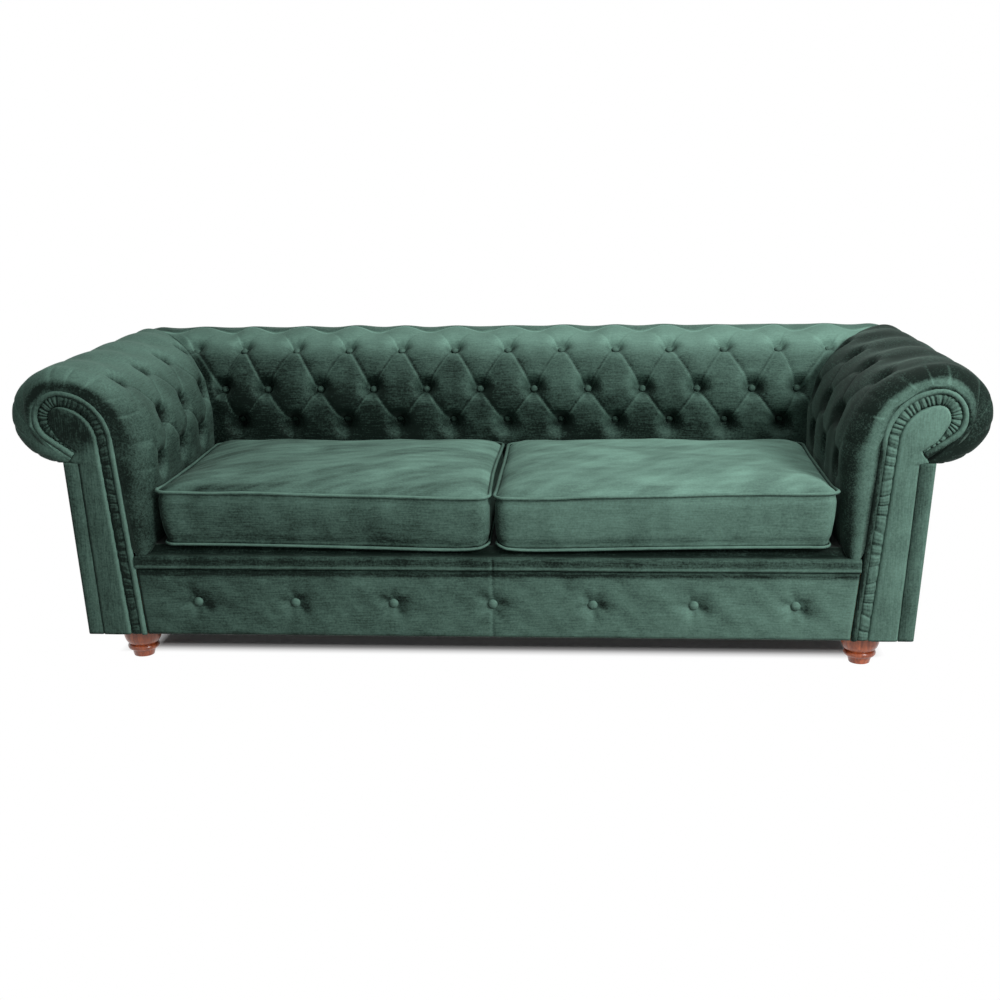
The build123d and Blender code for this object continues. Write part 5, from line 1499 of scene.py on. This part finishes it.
class SOFA_OT_frame_finishes(bpy.types.Operator):
    """Finish the pieces that keep their CAD shape: feet, timber, springs, foam, felt, zips and fixings"""

    bl_idname = "sofa.frame_finishes"
    bl_label = "Frame finishes"

    def execute(self, context):
        c = tint()
        # Turned beech, stained red-brown and lacquered: warm grain under a thin gloss
        stained = grained("stained_beech", tuple(c.wood_dark), tuple(c.wood_light), 7 * MM, 0.3, 0.35, 2)
        # Sawn pine: pale and dull, streaked along the plank
        timber = grained("sawn_pine", linear("#a5753f"), linear("#d8b27a"), 9 * MM, 0.7, 0.0, 0)
        # Cut polyether foam: cream open cells that scatter all light
        foam = matted("polyether_foam", linear("#cfc08b"), linear("#efe3ba"), 2.2 * MM, 0.95, 0.0, 0.6 * MM)
        # Needled felt: mixed grey fibres, dull and fluffy
        felt = matted("needled_felt", linear("#55585a"), linear("#8d8f8c"), 3.0 * MM, 1.0, 0.0, 0.6 * MM)
        # Bright drawn steel: grey metal with an even soft gloss
        steel = matted("bright_steel", linear("#8c9095"), linear("#b9bdc2"), 1.2 * MM, 0.32, 1.0, 0.05 * MM)
        # Woven polyester tape: dark green fine threads without shine
        tape = matted("woven_zip_tape", linear("#12271f"), linear("#274a3d"), 1.0 * MM, 0.9, 0.0, 0.3 * MM)
        # Cast brass: yellow metal, polished by hands
        brass = matted("cast_brass_zip", linear("#8a6a2e"), linear("#b8954c"), 1.5 * MM, 0.36, 1.0, 0.05 * MM)
        rules = (
            ("foot_bolts", steel),
            ("foot_", stained),
            ("foam", foam),
            ("felt", felt),
            ("zip_slider", brass),
            ("cushion_zip", tape),
            ("screws", steel),
            ("springs", steel),
            ("spring_clips", steel),
            ("tee_nuts", steel),
        )
        for name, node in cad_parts.items():
            if node.hide_render:
                continue
            finish = next((made for word, made in rules if word in name), timber)
            node.data.materials.clear()
            node.data.materials.append(finish)
        return {"FINISHED"}


# Stage


def camera_white(tree):
    """Share of a ray that sees the plain white surroundings: camera, glossy and transmitted rays."""
    path = add_node(tree, "ShaderNodeLightPath")
    seen = path.outputs["Is Camera Ray"]
    for ray in ("Is Glossy Ray", "Is Transmission Ray"):
        either = add_node(tree, "ShaderNodeMath", {0: seen, 1: path.outputs[ray]}, operation="MAXIMUM")
        seen = either.outputs[0]
    return seen


class SOFA_OT_stage(bpy.types.Operator):
    """Set the pale floor, the soft lights and the camera at the photograph's viewing angle"""

    bl_idname = "sofa.stage"
    bl_label = "Stage"

    def lamp(self, name, place, aim, wide, tall, power):
        """Rectangular soft light at a place, turned to its aim."""
        data = bpy.data.lights.new(name, "AREA")
        data.shape = "RECTANGLE"
        data.size, data.size_y = wide, tall
        data.energy = power
        lamp = bpy.data.objects.new(name, data)
        lamp.location = place
        lamp.rotation_euler = (Vector(aim) - Vector(place)).to_track_quat("-Z", "Y").to_euler()
        bpy.context.scene.collection.objects.link(lamp)

    def floor(self):
        """Wide pale floor, white to the camera away from the sofa and shaded under it.

        The grid's spacing follows a hyperbolic sine, and the white share is a smooth step of the distance
        outside the sofa's plan.
        """
        spread = np.sinh(np.linspace(-4.5, 4.5, 181)) / math.sinh(4.5) * 14.0
        x, y = np.meshgrid(spread, spread, indexing="ij")
        middle, half = (CAD_LOW + CAD_HIGH) / 2, (CAD_HIGH - CAD_LOW) / 2
        outside = np.maximum(np.abs(x) - half.x + 0.12, np.abs(y - middle.y) - half.y)
        mesh = bpy.data.meshes.new("studio_floor")
        points = np.stack([x, y, 0 * x], axis=-1)
        mesh.from_pydata(points.reshape(-1, 3).tolist(), [], faces_of(points))
        white = mesh.attributes.new("white", "FLOAT", "POINT")
        white.data.foreach_set("value", ease((outside + 0.15) / 0.07).astype(np.float32).ravel())
        made, tree, shader = new_finish("pale_floor")[:3]
        shader.inputs["Base Color"].default_value = (*tint().floor, 1)
        shader.inputs["Roughness"].default_value = 0.9
        shader.inputs["Specular IOR Level"].default_value = 0.1
        share = add_node(tree, "ShaderNodeAttribute", attribute_name="white")
        seen = add_node(
            tree, "ShaderNodeMath", {0: camera_white(tree), 1: share.outputs["Fac"]}, operation="MULTIPLY"
        )
        glow = add_node(tree, "ShaderNodeEmission", {"Color": (1, 1, 1, 1), "Strength": 1.0})
        ends = {1: shader.outputs[0], 2: glow.outputs[0]}
        both = add_node(tree, "ShaderNodeMixShader", {0: seen.outputs[0], **ends})
        out = next(node for node in tree.nodes if node.type == "OUTPUT_MATERIAL")
        tree.links.new(both.outputs[0], out.inputs["Surface"])
        mesh.materials.append(made)
        floor = bpy.data.objects.new("studio_floor", mesh)
        bpy.context.scene.collection.objects.link(floor)

    def world(self):
        """White surroundings for the camera, with an even soft light on everything else."""
        world = bpy.data.worlds.new("studio")
        world.use_nodes = True
        tree = world.node_tree
        tree.nodes.clear()
        span = {"To Min": 0.10, "To Max": 1.0}
        level = add_node(tree, "ShaderNodeMapRange", {"Value": camera_white(tree), **span})
        glow = add_node(tree, "ShaderNodeBackground", {"Color": (1, 1, 1, 1), "Strength": level.outputs[0]})
        add_node(tree, "ShaderNodeOutputWorld", {"Surface": glow.outputs[0]})
        bpy.context.scene.world = world

    def execute(self, context):
        scene = context.scene
        scene.view_settings.view_transform = "Standard"
        self.floor()
        self.world()
        self.lamp("key", (2.2, -2.4, 1.95), (0.2, 0.0, 0.4), 0.9, 0.9, 85)
        self.lamp("fill", (-2.6, -2.8, 1.6), (0.0, 0.0, 0.4), 1.8, 1.4, 7)
        self.lamp("rear", (-0.8, 3.2, 0.52), (0.0, 0.4, 0.4), 2.4, 0.3, 48)
        self.lamp("overhead", (0.3, -0.1, 2.7), (0.0, 0.0, 0.4), 2.6, 1.2, 30)
        data = bpy.data.cameras.new("view")
        data.sensor_width = 36
        data.lens = VIEW_LENS
        camera = bpy.data.objects.new("view", data)
        camera.location = VIEW_PLACE
        turned = Matrix.Rotation(math.radians(VIEW_TURN), 4, "Z")
        tipped = Matrix.Rotation(math.radians(90 - VIEW_TIP), 4, "X")
        rolled = Matrix.Rotation(math.radians(VIEW_ROLL), 4, "Z")
        camera.rotation_euler = (turned @ tipped @ rolled).to_euler()
        scene.collection.objects.link(camera)
        scene.camera = camera
        return {"FINISHED"}


STEPS = (
    SOFA_OT_inside_back,
    SOFA_OT_inside_arms,
    SOFA_OT_buttons,
    SOFA_OT_facings,
    SOFA_OT_front_rail,
    SOFA_OT_outside_covers,
    SOFA_OT_deck,
    SOFA_OT_cushions,
    SOFA_OT_frame_finishes,
    SOFA_OT_stage,
)


class SOFA_PT_build(bpy.types.Panel):
    """Lists the sofa's pieces in the sidebar"""

    bl_idname = "SOFA_PT_build"
    bl_label = "Sofa"
    bl_space_type = "VIEW_3D"
    bl_region_type = "UI"
    bl_category = "Sofa"

    def draw(self, context):
        for step in STEPS:
            self.layout.operator(step.bl_idname)
        for name in SofaColours.__annotations__:
            self.layout.prop(context.scene.sofa_colours, name)
        for name in SofaSizes.__annotations__:
            self.layout.prop(context.scene.sofa_sizes, name)


CLASSES = (SofaSizes, SofaColours, *STEPS, SOFA_PT_build)


def register():
    """Adds the classes and the scene's properties."""
    for made in CLASSES:
        bpy.utils.register_class(made)
    bpy.types.Scene.sofa_sizes = bpy.props.PointerProperty(type=SofaSizes)
    bpy.types.Scene.sofa_colours = bpy.props.PointerProperty(type=SofaColours)


def unregister():
    """Removes the scene's properties and the classes."""
    del bpy.types.Scene.sofa_colours
    del bpy.types.Scene.sofa_sizes
    for made in reversed(CLASSES):
        bpy.utils.unregister_class(made)


def main():
    register()
    for step in STEPS:
        group, name = step.bl_idname.split(".")
        getattr(getattr(bpy.ops, group), name)()


if __name__ == "__main__":
    main()
